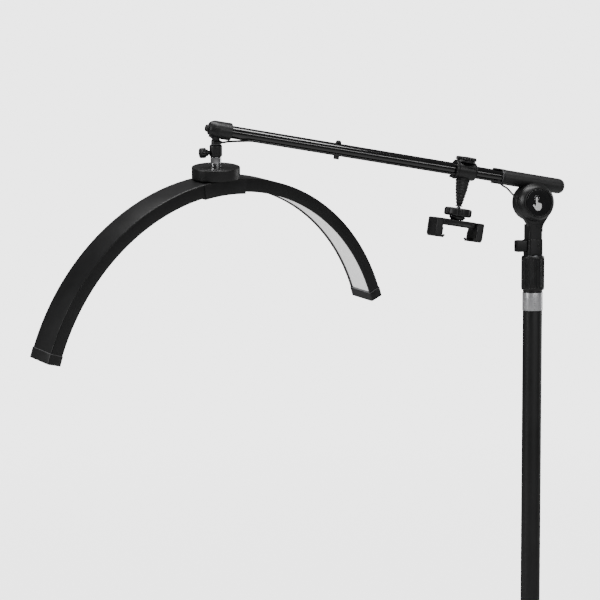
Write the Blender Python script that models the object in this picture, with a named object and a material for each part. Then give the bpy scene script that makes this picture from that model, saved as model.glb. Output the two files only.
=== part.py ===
"""Half-moon LED lamp on a boom, with a phone holder and a weighted floor stand.

Metres, +Z up. The origin is on the column's axis, at the floor. The boom points to -X and the
touch panel of the head faces -Y.
"""

import math

import bmesh
import bpy
from mathutils import Matrix, Vector

GAP = 0.0003

# Sides of a round piece, by its size
WIDE = 40
ROUND = 28
SMALL = 20
FINE = 12

# Stand
BASE_RADIUS = 0.142
PAD_THICKNESS = 0.003
WEIGHT_TOP = 0.0175
COVER_TOP = 0.0235
SOCKET_TOP = 0.078
COLUMN_RADIUS = 0.0150
COLUMN_WALL = 0.0012
INNER_RADIUS = 0.0124
INNER_BELOW_SLEEVE = 0.50

# Head, measured down from the boom's pivot
PIVOT_HEIGHT = 1.40
SEAM_DROP = 0.0565
SLEEVE_TOP_DROP = 0.082
SLEEVE_BOTTOM_DROP = 0.135
SLEEVE_RADIUS = 0.0178
BAND_DROP = (0.139, 0.1665)
DISC_RADIUS = 0.0295
PANEL_RADIUS = 0.0208
NECK_HALF = (0.0116, 0.0116)
HEAD_GLAND = Vector((-0.0262, -0.0048, 0.0045))
HEAD_GLAND_WAY = Vector((-0.8, 0, 0.6))

# Boom
BOOM_TILT = math.radians(9.0)
BOOM_RISE = 0.0312
BOOM_BACK = 0.0125
BOOM_REACH = 0.5145
BOOM_RADIUS = 0.0094
HANDLE_RADIUS = 0.0117
HANDLE_FRONT = -0.055
HANDLE_REAR = 0.052
BOLT_PLACE = -0.324
CABLE_RADIUS = 0.0015
CABLE_TURN = math.radians(42)

# Elbow and lamp, measured down from the boom's axis
ELBOW_RADIUS = 0.0130
ELBOW_TWIST = math.radians(9.8)
LEG_LEAN = math.radians(-2.6)
LEG_RADIUS = 0.0070
SOCKET_DROP = (0.0226, 0.0394)
SPIGOT_RADIUS = 0.008
SPIGOT_PIN_RADIUS = 0.0051
SCREW_DROP = 0.0339
HUB_DROP = (0.0549, 0.0711)
HUB_RADIUS = 0.0356
LAMP_YAW = math.radians(22.6)
BOW_RADIUS = 0.3245
BOW_THICKNESS = 0.0200
BOW_WIDTH = 0.047
BOW_WALL = 0.0025
BOW_END = math.radians(69.1)
CAP_ARC = math.radians(2.7)
BRACKET_HALF = 0.039

# Phone holder, measured down from the boom's axis
CLAMP_PLACE = -0.1165
CLAMP_RADIUS = 0.0142
CLAMP_HALF = 0.017
STEM_DROP = (0.0151, 0.0533)
BALL_DROP = 0.0615
BALL_RADIUS = 0.0054
WHEEL_DROP = (0.0575, 0.0703)
WHEEL_RADIUS = 0.0212
BAR_DROP = (0.0757, 0.0860)
BAR_HALF = 0.0392
BAR_DEPTH = 0.011
JAW_DROP = 0.1055
JAW_DEPTH = 0.019
JAW_THICKNESS = 0.0112


def clear_scene():
    for old in list(bpy.data.objects):
        bpy.data.objects.remove(old, do_unlink=True)


def paint(name, colour, roughness, metallic=0.0):
    material = bpy.data.materials.new(name)
    material.use_nodes = True
    shader = material.node_tree.nodes["Principled BSDF"]
    shader.inputs["Base Color"].default_value = (*colour, 1)
    shader.inputs["Roughness"].default_value = roughness
    shader.inputs["Metallic"].default_value = metallic
    material.diffuse_color = (*colour, 1)
    return material


def add_frame(name, matrix, parent=None):
    """An empty that holds one joint's place and direction."""
    empty = bpy.data.objects.new(name, None)
    bpy.context.scene.collection.objects.link(empty)
    empty.empty_display_size = 0.02
    if parent:
        empty.parent = parent
    empty.matrix_basis = matrix
    return empty


def circle(radius, height, steps=32, lobes=0, depth=0.0, squash=1.0):
    """A ring of points round Z, with shallow hollows between its lobes where it has any."""
    ring = []
    for i in range(steps):
        angle = math.tau * i / steps
        reach = radius - depth * (1 - math.cos(lobes * angle)) / 2
        ring.append(Vector((reach * math.cos(angle), squash * reach * math.sin(angle), height)))
    return ring


def rectangle(half_x, half_y, height, corner=0.0, centre=(0, 0)):
    """A ring of points round Z, with cut corners where a corner is given."""
    ring = []
    for sx, sy in ((1, 1), (-1, 1), (-1, -1), (1, -1)):
        near = (sx * (half_x - corner), sy * half_y)
        far = (sx * half_x, sy * (half_y - corner))
        for x, y in ((far, near) if sx * sy > 0 else (near, far)) if corner else ((far),):
            ring.append(Vector((centre[0] + x, centre[1] + y, height)))
    return ring


def loft(rings, closed=False):
    """Skins rings of equal count. A closed loft joins its last ring to its first, as a tube does."""
    bm = bmesh.new()
    rows = [[bm.verts.new(point) for point in ring] for ring in rings]
    pairs = list(zip(rows, rows[1:]))
    if closed:
        pairs.append((rows[-1], rows[0]))
    else:
        bm.faces.new(rows[0])
        bm.faces.new(rows[-1])
    count = len(rings[0])
    for low, high in pairs:
        for i in range(count):
            j = (i + 1) % count
            bm.faces.new((low[i], low[j], high[j], high[i]))
    bmesh.ops.recalc_face_normals(bm, faces=bm.faces)
    return bm


def turned(profile, steps=32, closed=False):
    """A solid of revolution round Z, from (radius, height) pairs."""
    return loft([circle(radius, height, steps) for radius, height in profile], closed)


def tube(outer, inner, low, high, steps=32):
    return turned([(outer, low), (outer, high), (inner, high), (inner, low)], steps, closed=True)


def block(half, centre=(0, 0, 0), bevel=0.0):
    bm = bmesh.new()
    bmesh.ops.create_cube(bm, size=2)
    bmesh.ops.scale(bm, vec=half, verts=bm.verts)
    bmesh.ops.translate(bm, vec=centre, verts=bm.verts)
    if bevel:
        bmesh.ops.bevel(bm, geom=bm.edges, offset=bevel, segments=1, affect="EDGES")
    return bm


def piece(name, bm, material, frame, place=None, sharp=math.radians(35)):
    """One named object, in the place and direction of its joint's frame."""
    if place is not None:
        bm.transform(place)
    mesh = bpy.data.meshes.new(name)
    bm.to_mesh(mesh)
    bm.free()
    mesh.shade_smooth()
    mesh.set_sharp_from_angle(angle=sharp)
    mesh.materials.append(material)
    obj = bpy.data.objects.new(name, mesh)
    bpy.context.scene.collection.objects.link(obj)
    obj.parent = frame
    return obj


def shape_with(target, operation, bm, place=None):
    """Adds or cuts a helper shape. The helper keeps the target's frame."""
    count = len(target.modifiers)
    name = f"{target.name}_{operation.lower()}_{count}"
    helper = piece(name, bm, target.data.materials[0], target.parent, place)
    helper.hide_render = True
    helper.display_type = "WIRE"
    boolean = target.modifiers.new(operation.title(), "BOOLEAN")
    boolean.operation = operation
    boolean.object = helper
    boolean.solver = "EXACT"


def cut(target, bm, place=None):
    shape_with(target, "DIFFERENCE", bm, place)


def join(target, bm, place=None):
    shape_with(target, "UNION", bm, place)


def facing(direction, origin=(0, 0, 0)):
    """Turns local +Z to the given direction, at the given origin."""
    turn = Vector((0, 0, 1)).rotation_difference(Vector(direction)).to_matrix().to_4x4()
    return Matrix.Translation(origin) @ turn


FRONT = facing((0, -1, 0))


def smooth_route(knots, spacing):
    """Points on a smooth curve through a cord's own points, about one every spacing."""
    padded = [2 * knots[0] - knots[1], *knots, 2 * knots[-1] - knots[-2]]
    route = [knots[0]]
    for before, start, end, after in zip(padded, padded[1:], padded[2:], padded[3:]):
        count = max(1, round((end - start).length / spacing))
        for i in range(1, count + 1):
            t = i / count
            along = start * (2 - 5 * t**2 + 3 * t**3) + end * (t + 4 * t**2 - 3 * t**3)
            ends = before * (2 * t**2 - t - t**3) + after * (t**3 - t**2)
            route.append((along + ends) / 2)
    return route


def cable(name, knots, material, frame, spacing=0.008):
    curve = bpy.data.curves.new(name, "CURVE")
    curve.dimensions = "3D"
    curve.bevel_depth = CABLE_RADIUS
    curve.bevel_resolution = 2
    curve.use_fill_caps = True
    route = smooth_route(knots, spacing)
    spline = curve.splines.new("POLY")
    spline.points.add(len(route) - 1)
    for point, place in zip(spline.points, route):
        point.co = (*place, 1)
    curve.materials.append(material)
    obj = bpy.data.objects.new(name, curve)
    bpy.context.scene.collection.objects.link(obj)
    obj.parent = frame
    return obj


def make_materials():
    return {
        "frame_black": paint("frame_black", (0.018, 0.018, 0.019), 0.55),
        "gloss_black": paint("gloss_black", (0.01, 0.01, 0.011), 0.2),
        "moulded_black": paint("moulded_black", (0.022, 0.022, 0.023), 0.6),
        "chrome": paint("chrome", (0.75, 0.76, 0.78), 0.12, 1.0),
        "foil": paint("foil", (0.62, 0.63, 0.65), 0.35, 1.0),
        "steel": paint("steel", (0.5, 0.5, 0.52), 0.4, 1.0),
        "cast_iron": paint("cast_iron", (0.05, 0.05, 0.05), 0.8, 0.6),
        "rubber": paint("rubber", (0.02, 0.02, 0.02), 0.85),
        "diffuser": paint("diffuser", (0.86, 0.87, 0.88), 0.45),
        "board": paint("board", (0.03, 0.16, 0.08), 0.5),
    }


def make_stand(paints, root, sleeve_frame):
    steps = WIDE
    piece("base_pad", turned([(0.138, 0), (0.138, PAD_THICKNESS)], steps), paints["rubber"], root)
    weight = turned(
        [
            (0.136, PAD_THICKNESS + GAP),
            (0.136, WEIGHT_TOP - 0.003),
            (0.12, WEIGHT_TOP),
            (0.0052, WEIGHT_TOP),
            (0.0052, 0.0095),
            (0.0085, 0.0095),
            (0.0085, PAD_THICKNESS + GAP),
        ],
        steps,
        closed=True,
    )
    piece("base_weight", weight, paints["cast_iron"], root)
    cover = turned(
        [
            (BASE_RADIUS, 0.0005),
            (BASE_RADIUS, 0.011),
            (0.139, 0.0165),
            (0.12, 0.0205),
            (0.05, COVER_TOP),
            (0.0052, COVER_TOP),
            (0.0052, 0.022),
            (0.05, 0.022),
            (0.12, 0.019),
            (0.1375, 0.0155),
            (0.1395, 0.011),
            (0.1395, 0.0005),
        ],
        steps,
        closed=True,
    )
    piece("base_cover", cover, paints["frame_black"], root)
    socket = turned(
        [
            (0.027, COVER_TOP + GAP),
            (0.027, COVER_TOP + 0.0045),
            (0.0195, COVER_TOP + 0.009),
            (0.0185, SOCKET_TOP),
            (COLUMN_RADIUS + GAP, SOCKET_TOP),
            (COLUMN_RADIUS + GAP, 0.0455),
            (0.0052, 0.0455),
            (0.0052, COVER_TOP + GAP),
        ],
        ROUND,
        closed=True,
    )
    piece("column_socket", socket, paints["moulded_black"], root)
    bolt = turned([(0.008, 0.0036), (0.008, 0.0092), (0.0048, 0.0092), (0.0048, 0.044)], SMALL)
    piece("column_bolt", bolt, paints["steel"], root)

    tube_top = PIVOT_HEIGHT - 0.110
    inside = COLUMN_RADIUS - COLUMN_WALL
    piece("column_tube", tube(COLUMN_RADIUS, inside, 0.0458, tube_top, ROUND), paints["frame_black"], root)
    low, high = PIVOT_HEIGHT - BAND_DROP[1], PIVOT_HEIGHT - BAND_DROP[0]
    band = tube(COLUMN_RADIUS + 0.0007, COLUMN_RADIUS + GAP, low, high, ROUND)
    piece("info_band", band, paints["foil"], root)
    collet = tube(COLUMN_RADIUS + 0.0001, INNER_RADIUS + GAP, tube_top + GAP, PIVOT_HEIGHT - 0.0845, SMALL)
    piece("lock_collet", collet, paints["moulded_black"], root)

    low, high = -SLEEVE_BOTTOM_DROP, -SLEEVE_TOP_DROP - GAP
    sleeve = turned(
        [
            (SLEEVE_RADIUS - 0.0015, low),
            (SLEEVE_RADIUS, low + 0.0025),
            (SLEEVE_RADIUS, high - 0.002),
            (SLEEVE_RADIUS - 0.0015, high),
            (INNER_RADIUS + GAP, high),
            (INNER_RADIUS + GAP, high - 0.0015),
            (COLUMN_RADIUS + 0.0005, high - 0.0015),
            (COLUMN_RADIUS + 0.0005, low),
        ],
        ROUND,
        closed=True,
    )
    piece("twist_lock_sleeve", sleeve, paints["moulded_black"], sleeve_frame)


def make_inner_column(paints, lift):
    low = -SLEEVE_TOP_DROP - INNER_BELOW_SLEEVE
    high = -SLEEVE_TOP_DROP + 0.006
    piece("inner_column", tube(INNER_RADIUS, 0.0112, low, high, ROUND), paints["steel"], lift)
    half_x, half_y = NECK_HALF
    neck = loft(
        [
            rectangle(0.0126, 0.0126, -SLEEVE_TOP_DROP + 0.0005, 0.0055),
            rectangle(0.0127, 0.0127, -0.073, 0.0058),
            rectangle(half_x + 0.0008, half_y + 0.0008, -0.063, 0.005),
            rectangle(half_x + 0.0006, half_y + 0.0006, -SEAM_DROP - GAP, 0.005),
        ]
    )
    neck = piece("neck_base", neck, paints["moulded_black"], lift)
    cut(neck, tube_hole(INNER_RADIUS + GAP, 0.02), Matrix.Translation((0, 0, -0.0955)))
    join(neck, turned([(0.006, -0.058), (0.006, -0.0505)], SMALL))
    cut(neck, tube_hole(0.0021, 0.006), facing((0, -1, 0), (0.004, -0.0098, -0.0665)))
    inlet = loft(
        [
            rectangle(0.0092, 0.0062, 0, 0.002),
            rectangle(0.0088, 0.0062, 0.0145, 0.002),
            rectangle(0.0078, 0.0052, 0.0165, 0.002),
        ]
    )
    reach = Matrix.Translation((-0.0131, 0, -0.067)) @ Matrix.Rotation(math.radians(-90), 4, "Y")
    inlet = piece("power_inlet", inlet, paints["moulded_black"], lift, reach)
    cut(inlet, tube_hole(0.0033, 0.015), facing((-1, 0, 0), (-0.0185, 0, -0.067)))
    screw = turned([(0.0017, 0), (0.0017, 0.0035), (0.0012, 0.0039)], FINE)
    piece("neck_screw", screw, paints["steel"], lift, facing((0, -1, 0), (0.004, -0.0102, -0.0665)))


def tube_hole(radius, length):
    """A plain round cutter that starts at its own origin and runs up local Z."""
    return turned([(radius, 0), (radius, length)], ROUND)


def make_head(paints, head):
    def drop_ring(back):
        """The outline of the housing: a disc above, tapering to the neck below."""
        ring = []
        for i in range(33):
            angle = math.radians(-26) + math.radians(232) * i / 32
            ring.append(Vector((DISC_RADIUS * math.cos(angle), DISC_RADIUS * math.sin(angle), back)))
        ring.append(Vector((-0.0158, -0.030, back)))
        ring.append(Vector((-NECK_HALF[0], -0.037, back)))
        ring.append(Vector((-NECK_HALF[0], -0.045, back)))
        ring.append(Vector((NECK_HALF[0], -0.045, back)))
        ring.append(Vector((NECK_HALF[0], -0.037, back)))
        ring.append(Vector((0.0158, -0.030, back)))
        return ring

    housing = loft([drop_ring(0.001), drop_ring(0.0112)])
    housing = piece("head_housing", housing, paints["moulded_black"], head, FRONT)
    neck = loft(
        [
            rectangle(*NECK_HALF, -SEAM_DROP, 0.004),
            rectangle(*NECK_HALF, -0.0335, 0.004),
        ]
    )
    join(housing, neck)
    cut(housing, tube_hole(0.0215, 0.03), facing((0, -1, 0), (0, -0.0045, 0)))
    cut(housing, tube_hole(0.0044, 0.03), facing((0, -1, 0), (0, 0.01, 0)))
    cut(housing, tube_hole(0.0064, 0.0085), Matrix.Translation((0, 0, -SEAM_DROP - 0.002)))
    gland = turned([(0.0028, 0), (0.0028, 0.0075)], FINE)
    join(housing, gland, facing(HEAD_GLAND_WAY, HEAD_GLAND))

    bezel = turned(
        [
            (0.0292, 0.0115),
            (0.0286, 0.0133),
            (0.0252, 0.0187),
            (0.0232, 0.0202),
            (0.0215, 0.0203),
            (0.0211, 0.0198),
            (0.0211, 0.0175),
            (0.0185, 0.0175),
            (0.0185, 0.0115),
        ],
        ROUND,
        closed=True,
    )
    piece("touch_bezel", bezel, paints["moulded_black"], head, FRONT)
    panel = turned([(PANEL_RADIUS, 0.0178), (PANEL_RADIUS, 0.0196), (0.0203, 0.0201)], ROUND)
    piece("touch_panel", panel, paints["gloss_black"], head, FRONT)
    piece("touch_board", turned([(0.0178, 0.0128), (0.0178, 0.0144)], SMALL), paints["board"], head, FRONT)

    bolt = turned([(0.0041, -0.0205), (0.0041, 0.0049), (0.0075, 0.0049), (0.0075, 0.0095)], SMALL)
    piece("pivot_bolt", bolt, paints["steel"], head, FRONT)
    piece("friction_washer", tube(0.0235, 0.0085, -0.0007, 0.0007, ROUND), paints["rubber"], head, FRONT)
    nut = turned([(0.0085, -0.0198), (0.0095, -0.0208), (0.0095, -0.0245), (0.008, -0.026)], SMALL)
    nut = piece("pivot_nut", nut, paints["moulded_black"], head, FRONT)
    cut(nut, tube_hole(0.0044, 0.004), facing((0, -1, 0), (0, 0.0225, 0)))


def along_boom(x):
    """Places a shape that runs up local Z along the boom, from x towards the handle."""
    return facing((1, 0, 0), (x, BOOM_BACK, BOOM_RISE))


def cable_line(x):
    """The cable's place under the boom, at x, turned a little to the front."""
    reach = BOOM_RADIUS + CABLE_RADIUS + GAP
    return Vector((x, BOOM_BACK - reach * math.sin(CABLE_TURN), BOOM_RISE - reach * math.cos(CABLE_TURN)))


def make_boom(paints, boom):
    disc = turned([(0.0262, -0.001), (0.0285, -0.003), (0.0285, -0.0165), (0.0265, -0.019)], WIDE)
    bracket = piece("boom_bracket", disc, paints["moulded_black"], boom, FRONT)
    cut(bracket, tube_hole(0.0044, 0.03), facing((0, -1, 0), (0, 0.025, 0)))
    cut(bracket, tube_hole(HANDLE_RADIUS + GAP, 0.10), along_boom(-0.05))

    length = HANDLE_REAR - HANDLE_FRONT
    handle = turned(
        [
            (HANDLE_RADIUS - 0.0006, 0),
            (HANDLE_RADIUS, 0.001),
            (HANDLE_RADIUS, length - 0.004),
            (HANDLE_RADIUS - 0.0035, length),
            (0.004, length),
            (0.004, length - 0.004),
            (BOOM_RADIUS + GAP, length - 0.004),
            (BOOM_RADIUS + GAP, 0),
        ],
        ROUND,
        closed=True,
    )
    handle = piece("boom_handle", handle, paints["moulded_black"], boom, along_boom(HANDLE_FRONT))
    for side in (1, -1):
        centre = (HANDLE_FRONT - 0.005, BOOM_BACK, BOOM_RISE + side * (BOOM_RADIUS + 0.0014))
        join(handle, block((0.0085, 0.0038, 0.0010), centre, 0.0004))

    inside = BOOM_RADIUS - 0.0011
    rod = tube(BOOM_RADIUS, inside, 0, BOOM_REACH - 0.0125 + 0.046, ROUND)
    rod = piece("boom_tube", rod, paints["gloss_black"], boom, along_boom(-BOOM_REACH + 0.0125))
    cut(rod, tube_hole(0.0021, 0.03), facing((0, 0, 1), (BOLT_PLACE, BOOM_BACK, BOOM_RISE - 0.015)))
    bolt = turned(
        [(0.0018, -0.0140), (0.0018, 0.0098), (0.0042, 0.0098), (0.0042, 0.0129), (0.003, 0.0140)], FINE
    )
    bolt_place = Matrix.Translation((BOLT_PLACE, BOOM_BACK, BOOM_RISE))
    piece("boom_bolt", bolt, paints["moulded_black"], boom, bolt_place)
    nut = tube(0.0046, 0.0021, -0.0145, -0.0098, 6)
    piece("boom_bolt_nut", nut, paints["moulded_black"], boom, bolt_place)

    straight = [cable_line(x) for x in (-0.458, -0.35, -0.20, HANDLE_FRONT - 0.009 - GAP)]
    cable("cable_run", straight, paints["rubber"], boom, 0.05)


def make_cable_ends(paints, boom, leg_exit, leg_way, head_exit, head_way):
    """The two loose ends, in the boom's frame: one to the elbow's leg, one to the head."""
    start = cable_line(-0.4583)
    lead = [
        start,
        start + Vector((-0.009, 0.0004, -0.0012)),
        leg_exit + leg_way * 0.011 + Vector((0, -0.0012, 0.0008)),
        leg_exit + leg_way * 0.004,
        leg_exit,
    ]
    cable("cable_lamp_end", lead, paints["rubber"], boom, 0.0035)
    start = cable_line(HANDLE_FRONT - 0.0087)
    lead = [
        start,
        start + Vector((0.0035, -0.0005, -0.0008)),
        start + Vector((0.0095, -0.0028, -0.0052)),
        (start + head_exit) / 2 + Vector((0.0010, -0.0008, 0.0012)),
        head_exit + head_way * 0.006,
        head_exit,
    ]
    cable("cable_head_end", lead, paints["rubber"], boom, 0.0035)


def make_elbow(paints, elbow, leg, screw_frame):
    length = 0.0342
    barrel = turned(
        [
            (ELBOW_RADIUS - 0.003, 0),
            (ELBOW_RADIUS, 0.0022),
            (ELBOW_RADIUS, length - 0.001),
            (ELBOW_RADIUS - 0.001, length),
        ],
        ROUND,
    )
    along = facing((1, 0, 0), (-0.0112, 0, 0))
    barrel = piece("elbow_barrel", barrel, paints["moulded_black"], elbow, along)
    cut(barrel, tube_hole(BOOM_RADIUS + GAP, 0.03), facing((1, 0, 0), (0.0118, 0, 0)))
    cut(barrel, block((0.0104, 0.0054, 0.0112), (0, 0, -0.0042)))
    cut(barrel, tube_hole(0.0021, 0.04), facing((0, -1, 0), (0, 0.02, 0)))
    button = turned([(0.004, 0), (0.004, 0.0042), (0.003, 0.0055)], FINE)
    piece("elbow_button", button, paints["moulded_black"], elbow, facing((-1, 0, 0), (-0.0115, 0, 0)))
    piece("elbow_pin", turned([(0.0018, -0.0121), (0.0018, 0.0121)], FINE), paints["steel"], elbow, FRONT)

    knuckle = turned([(0.006, -0.0046), (0.006, 0.0046)], SMALL)
    knuckle = piece("elbow_leg", knuckle, paints["moulded_black"], leg, FRONT)
    shank = loft(
        [
            circle(LEG_RADIUS, -SOCKET_DROP[0] + GAP, SMALL),
            circle(LEG_RADIUS, -0.0172, SMALL),
            circle(0.0060, -0.0155, SMALL, squash=0.73),
            circle(0.0058, -0.002, SMALL, squash=0.73),
        ]
    )
    join(knuckle, shank)
    cut(knuckle, tube_hole(0.0021, 0.02), facing((0, -1, 0), (0, 0.01, 0)))
    join(knuckle, turned([(0.0026, 0), (0.0026, 0.0055)], FINE), facing((1, 0, 0), (0.0035, 0, -0.0195)))

    high, low = -SOCKET_DROP[0], -SOCKET_DROP[1]
    socket = turned(
        [
            (0.0086, low),
            (0.0094, low + 0.0008),
            (0.0094, high - 0.0012),
            (0.0082, high),
            (0.002, high),
            (0.002, high - 0.0035),
            (SPIGOT_PIN_RADIUS + GAP, high - 0.0035),
            (SPIGOT_PIN_RADIUS + GAP, low),
        ],
        ROUND,
        closed=True,
    )
    socket = piece("lamp_socket", socket, paints["moulded_black"], leg)
    cut(socket, tube_hole(0.0024, 0.02), facing((-1, 0, 0), (-0.003, 0, -SCREW_DROP)))
    screw = turned(
        [
            (0.0021, 0.0056),
            (0.0021, 0.0100),
            (0.0032, 0.0100),
            (0.0032, 0.0118),
            (0.005, 0.0124),
            (0.005, 0.0152),
            (0.0076, 0.0156),
            (0.0076, 0.0236),
            (0.0062, 0.0247),
        ],
        SMALL,
    )
    piece("thumb_screw", screw, paints["moulded_black"], screw_frame, facing((-1, 0, 0)))


def bow_point(radius, angle, across):
    """A point of the lamp's bow: angle 0 is the top, straight under the hub."""
    top = -HUB_DROP[1] - GAP - BOW_RADIUS
    return Vector((radius * math.sin(angle), across, top + radius * math.cos(angle)))


def bow_sweep(section, start, end, steps=22):
    """Sweeps (radius, across) pairs along the bow between two angles."""
    rings = []
    for i in range(steps + 1):
        angle = start + (end - start) * i / steps
        rings.append([bow_point(radius, angle, across) for radius, across in section])
    return loft(rings)


def plate_section(outer, inner, half_width, corner=0.0):
    if not corner:
        return [(outer, -half_width), (outer, half_width), (inner, half_width), (inner, -half_width)]
    return [
        (outer - corner, -half_width),
        (outer, -half_width + corner),
        (outer, half_width - corner),
        (outer - corner, half_width),
        (inner + corner, half_width),
        (inner, half_width - corner),
        (inner, -half_width + corner),
        (inner + corner, -half_width),
    ]


def make_lamp(paints, lamp):
    high, low = -SOCKET_DROP[1] - GAP, -HUB_DROP[0] + GAP
    spigot = turned(
        [
            (SPIGOT_PIN_RADIUS - 0.0004, high + 0.0128),
            (SPIGOT_PIN_RADIUS, high + 0.0122),
            (SPIGOT_PIN_RADIUS, high),
            (SPIGOT_RADIUS - 0.0004, high),
            (SPIGOT_RADIUS, high - 0.0005),
            (SPIGOT_RADIUS, low),
            (SPIGOT_PIN_RADIUS, low),
            (SPIGOT_PIN_RADIUS, low - 0.006),
        ],
        ROUND,
    )
    piece("spigot", spigot, paints["chrome"], lamp)
    top, bottom = -HUB_DROP[0], -HUB_DROP[1]
    hub = turned(
        [
            (HUB_RADIUS, bottom),
            (HUB_RADIUS, top - 0.001),
            (HUB_RADIUS - 0.001, top),
            (SPIGOT_PIN_RADIUS + GAP, top),
            (SPIGOT_PIN_RADIUS + GAP, top - 0.0028),
            (HUB_RADIUS - 0.0025, top - 0.0028),
            (HUB_RADIUS - 0.0025, bottom),
        ],
        ROUND,
        closed=True,
    )
    piece("driver_housing", hub, paints["moulded_black"], lamp)
    board = turned([(0.028, bottom + 0.0042), (0.028, bottom + 0.0058)], SMALL)
    board = piece("driver_board", board, paints["board"], lamp)
    join(board, block((0.009, 0.007, 0.0016), (0.013, 0, bottom + 0.0072)))
    join(board, block((0.006, 0.012, 0.0013), (-0.012, 0, bottom + 0.0069)))

    half_width = BOW_WIDTH / 2
    start = math.asin(BRACKET_HALF / BOW_RADIUS)
    inner = BOW_RADIUS - BOW_THICKNESS
    bracket = bow_sweep(
        plate_section(BOW_RADIUS - 0.0002, inner - 0.0030, half_width + 0.0008, 0.0015), -start, start, 12
    )
    piece("centre_bracket", bracket, paints["moulded_black"], lamp)

    step = GAP / BOW_RADIUS
    channel = [
        (BOW_RADIUS, -half_width + 0.0005),
        (BOW_RADIUS, half_width - 0.0005),
        (BOW_RADIUS - 0.0005, half_width),
        (inner, half_width),
        (inner, half_width - BOW_WALL),
        (BOW_RADIUS - BOW_WALL, half_width - BOW_WALL),
        (BOW_RADIUS - BOW_WALL, -half_width + BOW_WALL),
        (inner, -half_width + BOW_WALL),
        (inner, -half_width),
        (BOW_RADIUS - 0.0005, -half_width),
    ]
    inside = half_width - BOW_WALL - GAP
    strip = plate_section(BOW_RADIUS - BOW_WALL - GAP, BOW_RADIUS - BOW_WALL - 0.0018, inside - 0.008)
    cover = plate_section(inner + 0.0042, inner + 0.0020, inside)
    cap = plate_section(BOW_RADIUS + 0.0008, inner - 0.0008, half_width + 0.0008, 0.001)
    for side, name in ((-1, "left"), (1, "right")):
        first = side * (start + step)
        last = side * (BOW_END - step)
        piece(f"arm_{name}", bow_sweep(channel, first, last), paints["frame_black"], lamp)
        ends = side * (start + 4 * step), side * (BOW_END - 4 * step)
        piece(f"led_strip_{name}", bow_sweep(strip, *ends), paints["board"], lamp)
        piece(f"diffuser_{name}", bow_sweep(cover, *ends), paints["diffuser"], lamp)
        ends = side * BOW_END, side * (BOW_END + CAP_ARC)
        piece(f"end_cap_{name}", bow_sweep(cap, *ends, 3), paints["moulded_black"], lamp)


def make_phone_clamp(paints, clamp, knob_frame):
    body = turned(
        [
            (0.0144, -CLAMP_HALF),
            (0.0148, -CLAMP_HALF + 0.0008),
            (0.0148, -CLAMP_HALF + 0.0035),
            (CLAMP_RADIUS, -CLAMP_HALF + 0.0045),
            (CLAMP_RADIUS, CLAMP_HALF - 0.0012),
            (CLAMP_RADIUS - 0.0012, CLAMP_HALF),
            (BOOM_RADIUS + GAP, CLAMP_HALF),
            (BOOM_RADIUS + GAP, -CLAMP_HALF),
        ],
        ROUND,
        closed=True,
    )
    body = piece("boom_clamp", body, paints["moulded_black"], clamp, facing((1, 0, 0)))
    groove = cable_line(0) - Vector((0, BOOM_BACK, BOOM_RISE))
    cut(body, tube_hole(CABLE_RADIUS + 0.0008, 0.06), facing((1, 0, 0), (-0.03, groove.y, groove.z)))
    cut(body, tube_hole(0.0024, 0.02), Matrix.Translation((0, 0, 0.004)))

    knob = loft(
        [
            circle(0.0021, BOOM_RADIUS + GAP, WIDE),
            circle(0.0021, 0.0152, WIDE),
            circle(0.0152, 0.0152, WIDE, 4, 0.0035),
            circle(0.0165, 0.0161, WIDE, 4, 0.0040),
            circle(0.0165, 0.0193, WIDE, 4, 0.0040),
            circle(0.0145, 0.0210, WIDE, 4, 0.0035),
        ]
    )
    piece("clamp_knob", knob, paints["moulded_black"], knob_frame)

    stem = loft(
        [
            circle(0.0118, -STEM_DROP[0], SMALL, squash=0.76),
            circle(0.0110, -0.0200, SMALL, squash=0.76),
            circle(0.0096, -0.0290, SMALL, squash=0.8),
            circle(0.0080, -0.0380, SMALL, squash=0.85),
            circle(0.0051, -0.0490, SMALL),
            circle(0.0048, -STEM_DROP[1], SMALL),
            circle(0.0058, -0.0542, SMALL),
            circle(0.0058, -0.0551, SMALL),
        ]
    )
    stem = piece("holder_stem", stem, paints["moulded_black"], clamp)
    cut(stem, tube_hole(0.0019, 0.012), Matrix.Translation((0, 0, -0.060)))
    bead = bmesh.new()
    bmesh.ops.create_uvsphere(bead, u_segments=SMALL, v_segments=FINE, radius=BALL_RADIUS)
    bead = piece("holder_ball", bead, paints["steel"], clamp, Matrix.Translation((0, 0, -BALL_DROP)))
    join(bead, turned([(0.0030, -0.0580), (0.0030, -0.0554), (0.0016, -0.0554), (0.0016, -0.0500)], SMALL))


def make_lock_wheel(paints, wheel_frame):
    high, low = BALL_DROP - WHEEL_DROP[0], BALL_DROP - WHEEL_DROP[1]
    wheel = loft(
        [
            circle(0.0195, low, WIDE, 8, 0.0016),
            circle(WHEEL_RADIUS, low + 0.0016, WIDE, 8, 0.0018),
            circle(WHEEL_RADIUS, high - 0.0016, WIDE, 8, 0.0018),
            circle(0.0195, high, WIDE, 8, 0.0016),
            circle(0.0049, high, WIDE),
            circle(0.0056, high - 0.0012, WIDE),
            circle(0.0074, high - 0.0022, WIDE),
            circle(0.0074, low, WIDE),
        ],
        closed=True,
    )
    piece("lock_wheel", wheel, paints["moulded_black"], wheel_frame)


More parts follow.
